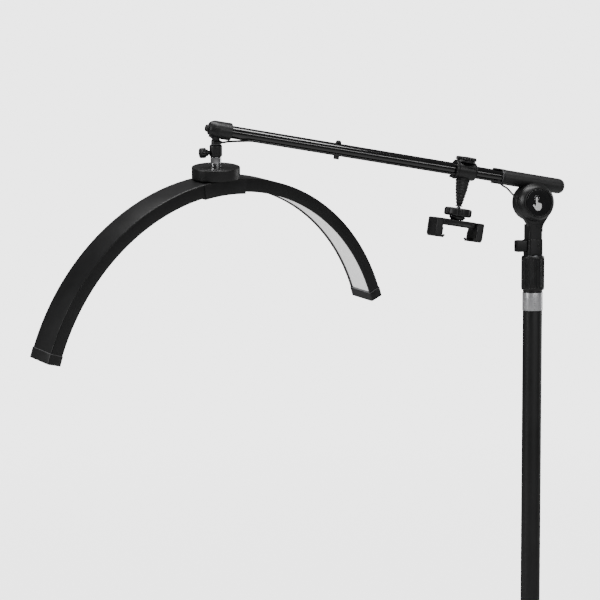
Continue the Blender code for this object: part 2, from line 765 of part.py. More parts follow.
def make_phone_clip(paints, cup, clip, jaw):
    drop = BALL_DROP
    boss = turned(
        [
            (0.0066, drop - 0.0674),
            (0.0070, drop - 0.0678),
            (0.0070, drop - 0.0707),
            (0.0122, drop - 0.0707),
            (0.0126, drop - 0.0718),
            (0.0098, drop - BAR_DROP[0] + GAP),
        ],
        SMALL,
    )
    piece("clip_boss", boss, paints["moulded_black"], cup)

    high, low = -BAR_DROP[0] + drop, -BAR_DROP[1] + drop
    middle = (high + low) / 2
    half_length = BAR_HALF - JAW_THICKNESS + 0.0016
    bar = block((half_length, BAR_DEPTH, (high - low) / 2), (-0.002, 0, middle), 0.0008)
    bar = piece("clip_bar", bar, paints["moulded_black"], clip)
    bottom = -JAW_DROP + drop
    join(bar, jaw_shape(-1, high, bottom))
    cut(bar, block((0.0335, 0.0075, 0.0026), (0.010, 0, middle)))

    slider = piece("sliding_jaw", jaw_shape(1, high, bottom), paints["moulded_black"], jaw)
    join(slider, block((0.016, 0.007, 0.0021), (0.0185, 0, middle)))
    spring = tube(0.0019, 0.0013, -0.0225, 0.0018, FINE)
    piece("clip_spring", spring, paints["steel"], clip, facing((1, 0, 0), (0, 0, middle)))
    face = BAR_HALF - JAW_THICKNESS - GAP
    for side, name, frame in ((-1, "fixed_jaw_pad", clip), (1, "sliding_jaw_pad", jaw)):
        centre = (side * (face - 0.0006), 0, (low + bottom) / 2 + 0.0002)
        pad = block((0.0006, JAW_DEPTH - 0.003, (low - bottom) / 2 - 0.0045), centre)
        piece(name, pad, paints["rubber"], frame)


def jaw_shape(side, high, bottom):
    """A jaw with a lip that hooks under the phone's edge, as an outline pulled across the clip."""
    outer, inner = BAR_HALF, BAR_HALF - JAW_THICKNESS
    outline = [
        (inner, high - 0.0002),
        (outer - 0.002, high - 0.0002),
        (outer, high - 0.0025),
        (outer, bottom + 0.002),
        (outer - 0.002, bottom),
        (inner - 0.0035, bottom),
        (inner - 0.0035, bottom + 0.0022),
        (inner, bottom + 0.0040),
    ]
    rings = [[Vector((side * x, y, z)) for x, z in outline] for y in (-JAW_DEPTH, JAW_DEPTH)]
    return loft(rings)


def main():
    clear_scene()
    paints = make_materials()
    root = add_frame("stand_frame", Matrix.Identity(4))
    lift = add_frame("lift_frame", Matrix.Translation((0, 0, PIVOT_HEIGHT)), root)
    sleeve = add_frame("sleeve_frame", Matrix.Translation((0, 0, PIVOT_HEIGHT)), root)
    head = add_frame("head_frame", Matrix.Identity(4), lift)
    tilt = Matrix.Rotation(BOOM_TILT, 4, "Y")
    boom = add_frame("boom_frame", tilt, head)
    elbow_place = Matrix.Translation((-BOOM_REACH, BOOM_BACK, BOOM_RISE))
    elbow_place = elbow_place @ Matrix.Rotation(ELBOW_TWIST, 4, "X")
    elbow = add_frame("elbow_frame", elbow_place, boom)
    leg_turn = Matrix.Rotation(LEG_LEAN - BOOM_TILT, 4, "Y")
    leg = add_frame("leg_frame", leg_turn, elbow)
    screw = add_frame("screw_frame", Matrix.Translation((0, 0, -SCREW_DROP)), leg)
    lamp = add_frame("lamp_frame", Matrix.Rotation(LAMP_YAW, 4, "Z"), leg)
    clamp = add_frame("clamp_frame", Matrix.Translation((CLAMP_PLACE, BOOM_BACK, BOOM_RISE)), boom)
    knob = add_frame("knob_frame", Matrix.Identity(4), clamp)
    cup = add_frame("cup_frame", Matrix.Translation((0, 0, -BALL_DROP)), clamp)
    wheel = add_frame("wheel_frame", Matrix.Identity(4), cup)
    clip = add_frame("clip_frame", Matrix.Identity(4), cup)
    jaw = add_frame("jaw_frame", Matrix.Identity(4), clip)

    make_stand(paints, root, sleeve)
    make_inner_column(paints, lift)
    make_head(paints, head)
    make_boom(paints, boom)
    make_elbow(paints, elbow, leg, screw)
    make_lamp(paints, lamp)
    make_phone_clamp(paints, clamp, knob)
    make_lock_wheel(paints, wheel)
    make_phone_clip(paints, cup, clip, jaw)
    to_leg = elbow_place @ leg_turn
    leg_way = to_leg.to_3x3() @ Vector((1, 0, 0))
    to_boom = tilt.inverted()
    head_exit = to_boom @ (HEAD_GLAND + HEAD_GLAND_WAY * (0.0075 + GAP))
    leg_exit = to_leg @ Vector((0.0093, 0, -0.0195))
    make_cable_ends(paints, boom, leg_exit, leg_way, head_exit, to_boom @ HEAD_GLAND_WAY)


main()
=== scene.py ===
"""Looks of a half-moon lamp on a boom stand. Metres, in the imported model's frame."""

import math

import bmesh
import bpy
from mathutils import Matrix, Vector


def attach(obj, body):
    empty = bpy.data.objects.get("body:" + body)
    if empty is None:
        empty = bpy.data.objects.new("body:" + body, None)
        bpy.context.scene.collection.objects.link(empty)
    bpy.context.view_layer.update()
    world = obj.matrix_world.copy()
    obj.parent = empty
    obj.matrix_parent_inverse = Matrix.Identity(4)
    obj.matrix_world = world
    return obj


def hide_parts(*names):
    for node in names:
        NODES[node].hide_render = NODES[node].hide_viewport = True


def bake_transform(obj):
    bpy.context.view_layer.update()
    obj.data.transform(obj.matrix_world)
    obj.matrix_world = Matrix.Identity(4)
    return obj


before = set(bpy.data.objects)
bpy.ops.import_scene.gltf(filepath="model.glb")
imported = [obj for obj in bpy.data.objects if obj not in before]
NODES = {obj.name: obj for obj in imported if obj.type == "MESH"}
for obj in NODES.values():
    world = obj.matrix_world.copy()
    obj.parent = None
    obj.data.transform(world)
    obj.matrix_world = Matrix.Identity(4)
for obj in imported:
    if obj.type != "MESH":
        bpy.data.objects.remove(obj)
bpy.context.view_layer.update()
GAP = 0.0003

# Sizes and places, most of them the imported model's own
PIVOT_HEIGHT = 1.40
BOOM_TILT = 9.0
BOOM_REACH = 0.5145
BOOM_BACK = 0.0125
BOOM_RISE = 0.0312
ELBOW_TWIST = 9.8
LEG_LEAN = -2.6
LAMP_YAW = 22.6
BOOM_RADIUS = 0.0094
HANDLE_FRONT = -0.055
HANDLE_REAR = 0.052
CABLE_RADIUS = 0.0015
CABLE_TURN = 42
BOLT_PLACE = -0.324
CLAMP_PLACE = -0.1165
CLAMP_HALF = 0.017
COLUMN_RADIUS = 0.0150
COLUMN_TOP = 1.29
BAND_DROP = (0.139, 0.1665)
INK_BASE = 0.02012
INK_THICKNESS = 0.00009
GLAND_PLACE = (-0.0262, -0.0048, 0.0045)
GLAND_WAY = (-0.8, 0, 0.6)
LEG_CABLE = -0.0195
SOCKET_TOP = -0.0226
SOCKET_BOTTOM = -0.0394
SCREW_DROP = 0.0339
HUB_TOP = -0.0549
HUB_BOTTOM = -0.0711
HUB_RADIUS = 0.0356
BOW_RADIUS = 0.3245
BOW_THICKNESS = 0.0200
BOW_WIDTH = 0.047
BOW_WALL = 0.0025
BOW_TOP = HUB_BOTTOM - GAP - BOW_RADIUS
BOW_START = math.asin(0.039 / BOW_RADIUS)
BOW_END = math.radians(69.1)
CAP_ARC = math.radians(2.7)
SCREW_ANGLE = 0.085
BALL_DROP = 0.0615
BAR_HALF = 0.0392
JAW_THICKNESS = 0.0112

# The studio
FLOOR_RADIUS = 7.0
CAMERA_PLACE = (-1.270, -2.678, 1.507)
CAMERA_YAW = 18.42
CAMERA_PITCH = 3.932
CAMERA_LENS = 114.84


def rotation(degrees, axis):
    return Matrix.Rotation(math.radians(degrees), 4, axis)


def shift(x, y, z):
    return Matrix.Translation((x, y, z))


def facing(direction, origin=(0, 0, 0)):
    """Turns local +Z to a direction, at an origin."""
    way = Vector((0, 0, 1)).rotation_difference(Vector(direction)).to_matrix().to_4x4()
    return Matrix.Translation(origin) @ way


NEAR = (0, -1, 0)
LEFT = (-1, 0, 0)
STAND = Matrix.Identity(4)
LIFT = shift(0, 0, PIVOT_HEIGHT)
BOOM = LIFT @ rotation(BOOM_TILT, "Y")
AXIS = BOOM @ shift(0, BOOM_BACK, BOOM_RISE)
ELBOW = AXIS @ shift(-BOOM_REACH, 0, 0) @ rotation(ELBOW_TWIST, "X")
LEG = ELBOW @ rotation(LEG_LEAN - BOOM_TILT, "Y")
LAMP = LEG @ rotation(LAMP_YAW, "Z")
CLAMP = AXIS @ shift(CLAMP_PLACE, 0, 0)
CUP = CLAMP @ shift(0, 0, -BALL_DROP)
FRONT = facing(NEAR)
ALONG = facing((1, 0, 0))


# Mesh making


def soften(line, radius, steps=3, closed=False):
    """Rounds the corners of a line of 2-D points."""
    count = len(line)
    soft = []
    for i, here in enumerate(line):
        here = Vector(here)
        if not closed and i in (0, count - 1):
            soft.append(here)
            continue
        before = Vector(line[i - 1]) - here
        after = Vector(line[(i + 1) % count]) - here
        cut = min(radius, 0.45 * before.length, 0.45 * after.length)
        first = here + before.normalized() * cut
        last = here + after.normalized() * cut
        for k in range(steps + 1):
            t = k / steps
            soft.append(first * (1 - t) ** 2 + here * (2 * t * (1 - t)) + last * t**2)
    return soft


def skin(rings, closed=False):
    """Joins rings of equal count into one closed mesh."""
    bm = bmesh.new()
    rows = [[bm.verts.new(point) for point in ring] for ring in rings]
    pairs = list(zip(rows, rows[1:]))
    if closed:
        pairs.append((rows[-1], rows[0]))
    else:
        bm.faces.new(rows[0])
        bm.faces.new(rows[-1])
    count = len(rings[0])
    for low, high in pairs:
        for i in range(count):
            j = (i + 1) % count
            bm.faces.new((low[i], low[j], high[j], high[i]))
    bmesh.ops.recalc_face_normals(bm, faces=bm.faces)
    return bm


def ring(radius, height, steps, wave=None):
    points = []
    for i in range(steps):
        angle = math.tau * i / steps
        reach = radius - (wave(angle, height) if wave else 0)
        points.append((reach * math.cos(angle), reach * math.sin(angle), height))
    return points


def spun(profile, steps=72, soft=0.0003, closed=False, wave=None):
    """A turned piece from (radius, height) pairs, its edges rounded. A wave cuts flutes or lobes."""
    line = soften(profile, soft, closed=closed) if soft else profile
    return skin([ring(radius, height, steps, wave) for radius, height in line], closed)


def plug(radius, low, high, steps):
    """A plain cylinder with sharp rims, to drill or join with."""
    return spun([(radius, low), (radius, high)], steps, 0)


def section(outer, inner, low, high):
    """The four corners of a tube wall or a plate."""
    return [(outer, low), (outer, high), (inner, high), (inner, low)]


def oval(half_x, half_y, height, steps, aside=0):
    turns = [math.tau * i / steps for i in range(steps)]
    return [(aside + half_x * math.cos(a), half_y * math.sin(a), height) for a in turns]


def lobed_ring(radius, height, steps, count, depth, power, turn, fade):
    """A ring with hollows between its lobes. They fade out towards the middle."""
    share = min(1, max(0, (radius - fade[0]) / (fade[1] - fade[0])))

    def hollow(angle, _):
        return share * depth * (0.5 - 0.5 * math.cos(count * (angle - math.radians(turn)))) ** power

    return ring(radius, height, steps, hollow)


def slab(half, soft, centre=(0, 0, 0), steps=3):
    """A block with rounded edges."""
    bm = bmesh.new()
    bmesh.ops.create_cube(bm, size=2)
    bmesh.ops.scale(bm, vec=half, verts=bm.verts)
    bmesh.ops.translate(bm, vec=centre, verts=bm.verts)
    bmesh.ops.bevel(bm, geom=bm.edges, offset=soft, segments=steps, profile=0.5, affect="EDGES")
    return bm


def box_ring(half_x, half_y, height, corner, steps=5):
    """A rounded rectangle round Z."""
    points = []
    for quarter, (sx, sy) in enumerate(((1, 1), (-1, 1), (-1, -1), (1, -1))):
        for k in range(steps + 1):
            angle = math.tau / 4 * (quarter + k / steps)
            x = sx * (half_x - corner) + corner * math.cos(angle)
            y = sy * (half_y - corner) + corner * math.sin(angle)
            points.append((x, y, height))
    return points


def pull(outline, low, high, soft=0.0004, steps=3):
    """Pulls a 2-D outline up Z, with rounded rims."""
    centre = sum((Vector(p) for p in outline), Vector((0, 0))) / len(outline)
    rims = []
    for k in range(steps + 1):
        angle = math.tau / 4 * k / steps
        rims.append((low + soft * (1 - math.cos(angle)), soft * (1 - math.sin(angle))))
    tops = [(high - (z - low), inset) for z, inset in reversed(rims)]
    layers = []
    count = len(outline)
    for z, inset in [*rims, *tops]:
        layer = []
        for i, point in enumerate(outline):
            here = Vector(point)
            along = Vector(outline[(i + 1) % count]) - Vector(outline[i - 1])
            inward = Vector((-along.y, along.x)).normalized()
            if inward.dot(centre - here) < 0:
                inward = -inward
            inset_point = here + inward * inset
            layer.append((inset_point.x, inset_point.y, z))
        layers.append(layer)
    return skin(layers)


def pipe(route, radius, sides=16):
    """A round sheath along a route, without twist."""
    rings = []
    side = None
    for i, here in enumerate(route):
        along = (route[min(i + 1, len(route) - 1)] - route[max(i - 1, 0)]).normalized()
        if side is None:
            side = along.orthogonal().normalized()
        side = (side - along * side.dot(along)).normalized()
        up = along.cross(side)
        rings.append([
            here + (side * math.cos(math.tau * k / sides) + up * math.sin(math.tau * k / sides)) * radius
            for k in range(sides)
        ])
    return skin(rings)


def smooth_route(knots, spacing):
    """Points on a smooth curve through a cable's own points."""
    padded = [2 * knots[0] - knots[1], *knots, 2 * knots[-1] - knots[-2]]
    route = [knots[0]]
    for before, start, end, after in zip(padded, padded[1:], padded[2:], padded[3:]):
        count = max(1, round((end - start).length / spacing))
        for i in range(1, count + 1):
            t = i / count
            along = start * (2 - 5 * t**2 + 3 * t**3) + end * (t + 4 * t**2 - 3 * t**3)
            ends = before * (2 * t**2 - t - t**3) + after * (t**3 - t**2)
            route.append((along + ends) / 2)
    return route


def merged(*meshes):
    """Several closed meshes in one."""
    whole = meshes[0]
    for extra in meshes[1:]:
        data = bpy.data.meshes.new("part")
        extra.to_mesh(data)
        extra.free()
        whole.from_mesh(data)
        bpy.data.meshes.remove(data)
    return whole


def shaped(name, bm, place, material, sharp=40):
    """An object made of a mesh, smooth but for its sharp edges."""
    bm.transform(place)
    mesh = bpy.data.meshes.new(name)
    bm.to_mesh(mesh)
    bm.free()
    mesh.shade_smooth()
    mesh.set_sharp_from_angle(angle=math.radians(sharp))
    mesh.materials.append(material)
    obj = bpy.data.objects.new(name, mesh)
    bpy.context.scene.collection.objects.link(obj)
    return obj


def piece(name, bm, place, finish, body, nodes=(), sharp=40):
    """One named piece that rides on a body and stands for CAD nodes."""
    obj = shaped(name, bm, place, PAINT[finish], sharp)
    if body:
        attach(obj, body)
    if nodes:
        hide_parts(*nodes)
    return obj


def carve(obj, cutter, place, operation="DIFFERENCE", sharp=32):
    """Cuts a closed mesh out of a piece, or joins it on."""
    tool = shaped("carving_tool", cutter, place, obj.data.materials[0])
    boolean = obj.modifiers.new("carve", "BOOLEAN")
    boolean.operation = operation
    boolean.object = tool
    boolean.solver = "EXACT"
    graph = bpy.context.evaluated_depsgraph_get()
    graph.update()
    done = bpy.data.meshes.new_from_object(obj.evaluated_get(graph))
    obj.modifiers.clear()
    old = obj.data
    obj.data = done
    done.name = old.name
    bpy.data.meshes.remove(old)
    bpy.data.objects.remove(tool)
    obj.data.shade_smooth()
    obj.data.set_sharp_from_angle(angle=math.radians(sharp))


def rounded(obj, width, angle, segments=2):
    """Breaks a piece's sharp edges, as a mould or a tumbler does."""
    bevel = obj.modifiers.new("edge", "BEVEL")
    bevel.width = width
    bevel.segments = segments
    bevel.limit_method = "ANGLE"
    bevel.angle_limit = math.radians(angle)
    bevel.harden_normals = True


# Finishes


def linear(code):
    """An sRGB hex value as linear colour."""
    channels = [int(code[i : i + 2], 16) / 255 for i in (1, 3, 5)]
    return (*[c / 12.92 if c <= 0.04045 else ((c + 0.055) / 1.055) ** 2.4 for c in channels], 1.0)


def per_metre(millimetres):
    """Texture scale for a pattern whose cells are this wide."""
    return 1000.0 / millimetres


def add(tree, kind, inputs=(), **settings):
    """Adds one node: its settings, and its inputs set to a value or linked to a socket."""
    made = tree.nodes.new(kind)
    for key, value in settings.items():
        setattr(made, key, value)
    for key, value in dict(inputs).items():
        if isinstance(value, bpy.types.NodeSocket):
            tree.links.new(value, made.inputs[key])
        else:
            made.inputs[key].default_value = value
    return made


def shader(name, **uniform):
    """A new material, its Principled shader and its object coordinates."""
    material = bpy.data.materials.new(name)
    material.use_nodes = True
    tree = material.node_tree
    surface = tree.nodes["Principled BSDF"]
    for key, value in uniform.items():
        surface.inputs[key.replace("_", " ")].default_value = value
    place = add(tree, "ShaderNodeTexCoord").outputs["Object"]
    return material, tree, surface, place


def stretched(tree, place, scale):
    return add(tree, "ShaderNodeMapping", {"Vector": place, "Scale": scale}).outputs["Vector"]


def cloud(tree, place, width, detail=3.0, rough=0.55):
    """Soft noise whose blots are this many millimetres wide."""
    return add(
        tree,
        "ShaderNodeTexNoise",
        {"Vector": place, "Scale": per_metre(width), "Detail": detail, "Roughness": rough},
    ).outputs["Fac"]


def spread(tree, value, low, high, start=0.3, end=0.7):
    """Maps a pattern's middle values to a range."""
    inputs = {"Value": value, "From Min": start, "From Max": end, "To Min": low, "To Max": high}
    return add(tree, "ShaderNodeMapRange", inputs).outputs["Result"]


def between(tree, amount, first, second):
    """Blends two sRGB colours by a pattern."""
    ramp = add(tree, "ShaderNodeValToRGB", {"Fac": amount})
    ramp.color_ramp.elements[0].color = linear(first)
    ramp.color_ramp.elements[1].color = linear(second)
    ramp.color_ramp.elements[0].position = 0.3
    ramp.color_ramp.elements[1].position = 0.7
    return ramp.outputs["Color"]


def relief(tree, surface, height, depth, strength=1.0):
    """Bumps the surface by a pattern of this depth in millimetres."""
    inputs = {"Height": height, "Distance": depth / 1000, "Strength": strength}
    bump = add(tree, "ShaderNodeBump", inputs)
    tree.links.new(bump.outputs["Normal"], surface.inputs["Normal"])


def dress(tree, surface, colours, shine):
    """Colours a surface by one pattern, and sets its roughness by the same or another."""
    tree.links.new(between(tree, *colours), surface.inputs["Base Color"])
    tree.links.new(spread(tree, *shine), surface.inputs["Roughness"])


def moulded_abs(name, dark, light, rough, grain=0.45, depth=0.02):
    """Moulded ABS: black all through, a fine spark-eroded grain, a shinier bloom where hands rub it."""
    material, tree, surface, place = shader(name, IOR=1.53)
    # The real grain is about 0.15 mm; it is drawn coarser so that it shows
    fine = cloud(tree, place, grain, 2.0, 0.6)
    wide = cloud(tree, place, 18.0)
    dress(tree, surface, (wide, dark, light), (wide, rough - 0.05, rough + 0.06))
    relief(tree, surface, fine, depth, 0.55)
    return material


def powder_coat(name, dark, light, rough):
    """Polyester powder coat on metal: black, low sheen, with the soft dimples of orange peel."""
    material, tree, surface, place = shader(name, IOR=1.5)
    # Orange peel cells are 1 to 2 mm wide and about 10 microns deep
    peel = cloud(tree, place, 1.6, 2.0, 0.5)
    dust = cloud(tree, place, 60.0, 4.0, 0.6)
    dress(tree, surface, (dust, dark, light), (dust, rough - 0.05, rough + 0.07))
    relief(tree, surface, peel, 0.03, 0.5)
    return material


def gloss_paint():
    """Baked gloss black enamel on the steel boom: deep black, mirror streaks that waver slightly."""
    material, tree, surface, place = shader(
        "gloss_black_enamel", IOR=1.52, Coat_Weight=0.6, Coat_Roughness=0.08
    )
    run = cloud(tree, stretched(tree, place, (0.12, 1, 1)), 7.0, 3.0)
    smear = cloud(tree, place, 22.0, 5.0, 0.65)
    dress(tree, surface, (smear, "#070708", "#0c0c0e"), (smear, 0.13, 0.2))
    relief(tree, surface, run, 0.01, 0.25)
    return material


def touch_glass():
    """Gloss black acrylic panel, polished, with faint finger smears in its shine."""
    material, tree, surface, place = shader("black_acrylic", IOR=1.49, Coat_Weight=0.8, Coat_Roughness=0.03)
    smear = cloud(tree, stretched(tree, place, (1, 1, 0.35)), 5.0, 5.0, 0.7)
    dress(tree, surface, (smear, "#0b0b0d", "#141416"), (smear, 0.06, 0.2))
    return material


def chrome_plate():
    """Bright chrome on turned steel: a mirror with fine turning rings and light clamp scuffs."""
    material, tree, surface, place = shader("chrome_plate", Metallic=1.0)
    rings = cloud(tree, stretched(tree, place, (0.02, 0.02, 1)), 0.9, 4.0, 0.7)
    scuff = cloud(tree, place, 3.0, 5.0, 0.7)
    dress(tree, surface, (scuff, "#dcdde0", "#f1f1f3"), (scuff, 0.05, 0.14))
    relief(tree, surface, rings, 0.003, 0.3)
    return material


def silver_foil():
    """Metallised film label stock: silver, satin, stretched round the tube with small creases."""
    material, tree, surface, place = shader("metallised_film", Metallic=0.65)
    creases = cloud(tree, stretched(tree, place, (1, 1, 0.45)), 6.0, 4.0, 0.6)
    brush = cloud(tree, stretched(tree, place, (0.06, 0.06, 1)), 0.7, 3.0, 0.7)
    dress(tree, surface, (brush, "#d5d6d9", "#f2f2f4"), (creases, 0.24, 0.4))
    relief(tree, surface, creases, 0.05, 0.25)
    return material


def zinc_steel():
    """Zinc plated steel: cool grey, satin, clouded by the plating bath."""
    material, tree, surface, place = shader("zinc_plated_steel", Metallic=1.0)
    bloom = cloud(tree, place, 2.5, 5.0, 0.65)
    dress(tree, surface, (bloom, "#8e9094", "#b3b5b8"), (bloom, 0.26, 0.44))
    relief(tree, surface, cloud(tree, place, 0.5), 0.01, 0.4)
    return material


def satin_aluminium():
    """Drawn aluminium tube, satin anodised, with lines along its length."""
    material, tree, surface, place = shader("satin_anodised_aluminium", Metallic=0.9)
    drawn = cloud(tree, stretched(tree, place, (1, 1, 0.015)), 0.6, 3.0, 0.6)
    dress(tree, surface, (drawn, "#77797c", "#96989b"), (drawn, 0.3, 0.42))
    relief(tree, surface, drawn, 0.008, 0.4)
    return material


def cast_iron():
    """Grey cast iron, rough from its sand mould, with a thin brown bloom."""
    material, tree, surface, place = shader("sand_cast_iron", Metallic=0.5)
    sand = cloud(tree, place, 1.2, 6.0, 0.7)
    rust = cloud(tree, place, 14.0, 5.0, 0.65)
    dress(tree, surface, (rust, "#33312f", "#4d443c"), (sand, 0.62, 0.85))
    relief(tree, surface, sand, 0.25, 0.7)
    return material


def soft_rubber():
    """Natural rubber: dull black with a fine moulded tooth and pale dust in it."""
    material, tree, surface, place = shader("moulded_rubber", IOR=1.52)
    tooth = add(tree, "ShaderNodeTexVoronoi", {"Vector": place, "Scale": per_metre(0.9)}).outputs["Distance"]
    dust = cloud(tree, place, 9.0, 5.0, 0.65)
    dress(tree, surface, (dust, "#1b1b1b", "#272625"), (dust, 0.72, 0.88))
    relief(tree, surface, tooth, 0.08, 0.5)
    return material


def cable_sheath():
    """PVC cable sheath: black, semi-gloss, with long extrusion lines."""
    material, tree, surface, place = shader("pvc_cable_sheath", IOR=1.53)
    lines = cloud(tree, place, 1.4, 2.0, 0.5)
    dress(tree, surface, (lines, "#151516", "#1f1f20"), (lines, 0.34, 0.46))
    relief(tree, surface, lines, 0.02, 0.4)
    return material


def opal_acrylic():
    """Opal polycarbonate diffuser: white, satin, lit a little from within, with a very fine matt tooth."""
    material, tree, surface, place = shader("opal_polycarbonate", IOR=1.58, Subsurface_Weight=0.25)
    surface.inputs["Subsurface Radius"].default_value = (0.004, 0.004, 0.004)
    surface.inputs["Subsurface Scale"].default_value = 1.0
    surface.inputs["Emission Color"].default_value = linear("#ffffff")
    surface.inputs["Emission Strength"].default_value = 0.55
    haze = cloud(tree, place, 24.0, 3.0)
    dress(tree, surface, (haze, "#f3f4f5", "#fbfbfb"), (haze, 0.36, 0.46))
    relief(tree, surface, cloud(tree, place, 0.5), 0.01, 0.4)
    return material


def white_ink():
    """Screen-printed white ink: flat and matt, with slightly uneven cover."""
    material, tree, surface, place = shader("screen_print_ink", IOR=1.5)
    cover = cloud(tree, place, 0.9, 4.0, 0.6)
    dress(tree, surface, (cover, "#f4f4f4", "#ffffff"), (cover, 0.5, 0.65))
    relief(tree, surface, cover, 0.01, 0.4)
    return material


def circuit_board():
    """Glass-epoxy board under green solder mask, the weave just showing."""
    material, tree, surface, place = shader("solder_masked_board", IOR=1.55)
    weave = add(tree, "ShaderNodeTexChecker", {"Vector": place, "Scale": per_metre(0.8)}).outputs["Fac"]
    blots = cloud(tree, place, 5.0)
    dress(tree, surface, (blots, "#17452c", "#1e5a39"), (blots, 0.3, 0.45))
    relief(tree, surface, weave, 0.02, 0.3)
    return material


PAINT = {
    "shell": moulded_abs("moulded_abs_satin", "#101011", "#171718", 0.40),
    "grip": moulded_abs("moulded_abs_grip", "#1b1b1c", "#232324", 0.5, 0.6, 0.03),
    "joint": moulded_abs("glass_filled_nylon", "#1a1a1b", "#222223", 0.42, 0.5, 0.03),
    # Pale grey for thin rings on the edges of black caps, the leg and the grip: a painted highlight, the
    # light line that these edges catch
    "highlight_rim": moulded_abs("moulded_abs_painted_highlight_rim", "#656567", "#7b7b7d", 0.4),
    "column": powder_coat("powder_coat_black", "#141415", "#1a1a1b", 0.46),
    "arm": powder_coat("fine_texture_coat", "#101011", "#161617", 0.38),
    "gloss": gloss_paint(),
    "panel": touch_glass(),
    "chrome": chrome_plate(),
    "foil": silver_foil(),
    "steel": zinc_steel(),
    "aluminium": satin_aluminium(),
    "iron": cast_iron(),
    "rubber": soft_rubber(),
    "sheath": cable_sheath(),
    "opal": opal_acrylic(),
    "ink": white_ink(),
    "board": circuit_board(),
}

# Nodes that keep their CAD shape
KEPT = {
    "base_pad": "rubber",
    "base_weight": "iron",
    "column_bolt": "steel",
    "lock_collet": "shell",
    "touch_board": "board",
    "pivot_bolt": "steel",
    "friction_washer": "rubber",
    "elbow_pin": "steel",
    "driver_board": "board",
    "led_strip_left": "board",
    "led_strip_right": "board",
    "fixed_jaw_pad": "rubber",
    "sliding_jaw_pad": "rubber",
}


def dress_kept_nodes():
    for name, finish in KEPT.items():
        node = NODES[name]
        node.data.materials.clear()
        node.data.materials.append(PAINT[finish])


# Stand


def make_stand():
    cover = [
        (0.1395, 0.0005), (0.1420, 0.0005), (0.1420, 0.0095), (0.1405, 0.0145), (0.1365, 0.0175),
        (0.1200, 0.0205), (0.0850, 0.0222), (0.0500, 0.0235), (0.0052, 0.0235), (0.0052, 0.0220),
        (0.0500, 0.0220), (0.1200, 0.0190), (0.1375, 0.0155), (0.1395, 0.0110),
    ]
    piece("base_cover_shell", spun(cover, 160, 0.002, closed=True), STAND, "column", "stand", ["base_cover"])
    socket = [
        (0.0052, 0.0238), (0.0270, 0.0238), (0.0270, 0.0280), (0.0225, 0.0305), (0.0195, 0.0345),
        (0.0187, 0.0430), (0.0185, 0.0700), (0.0190, 0.0705), (0.0190, 0.0768), (0.0183, 0.0780),
        (0.0153, 0.0780), (0.0153, 0.0455), (0.0052, 0.0455),
    ]
    piece("column_socket_casting", spun(socket, 96, 0.0006, closed=True), STAND, "shell", "stand",
          ["column_socket"])
    column = section(COLUMN_RADIUS, COLUMN_RADIUS - 0.0012, 0.0458, COLUMN_TOP)
    piece("column_outer_tube", spun(column, 96, 0.0003, closed=True), STAND, "column", "stand",
          ["column_tube"])

    low, high = PIVOT_HEIGHT - BAND_DROP[1], PIVOT_HEIGHT - BAND_DROP[0]
    band = spun(section(0.0157, 0.0153, low, high), 96, 0.0001, closed=True)
    lap = section(0.0158, 0.0155, low + 0.0002, high - 0.0002)
    overlap = skin([
        [(radius * math.cos(a), radius * math.sin(a), z) for radius, z in lap]
        for a in [math.radians(60 + 2 * k) for k in range(15)]
    ])
    piece("silver_band", merged(band, overlap), STAND, "foil", "stand", ["info_band"])

    low, high = -0.135, -0.0823
    flutes = 26

    def fluted(angle, height):
        if not low + 0.0035 < height < high - 0.0035:
            return 0
        return 0.0009 * (0.5 - 0.5 * math.cos(flutes * angle)) ** 0.7

    sleeve = [
        (0.0155, low), (0.0166, low), (0.0175, low + 0.0012), (0.0176, low + 0.0030),
        (0.0178, low + 0.0040), (0.0178, high - 0.0040), (0.0176, high - 0.0030),
        (0.0173, high - 0.0012), (0.0163, high), (0.0127, high), (0.0127, high - 0.0015),
        (0.0155, high - 0.0015),
    ]
    piece("twist_sleeve_fluted", spun(sleeve, flutes * 12, 0.00025, closed=True, wave=fluted), LIFT, "shell",
          "lock_sleeve", ["twist_lock_sleeve"])


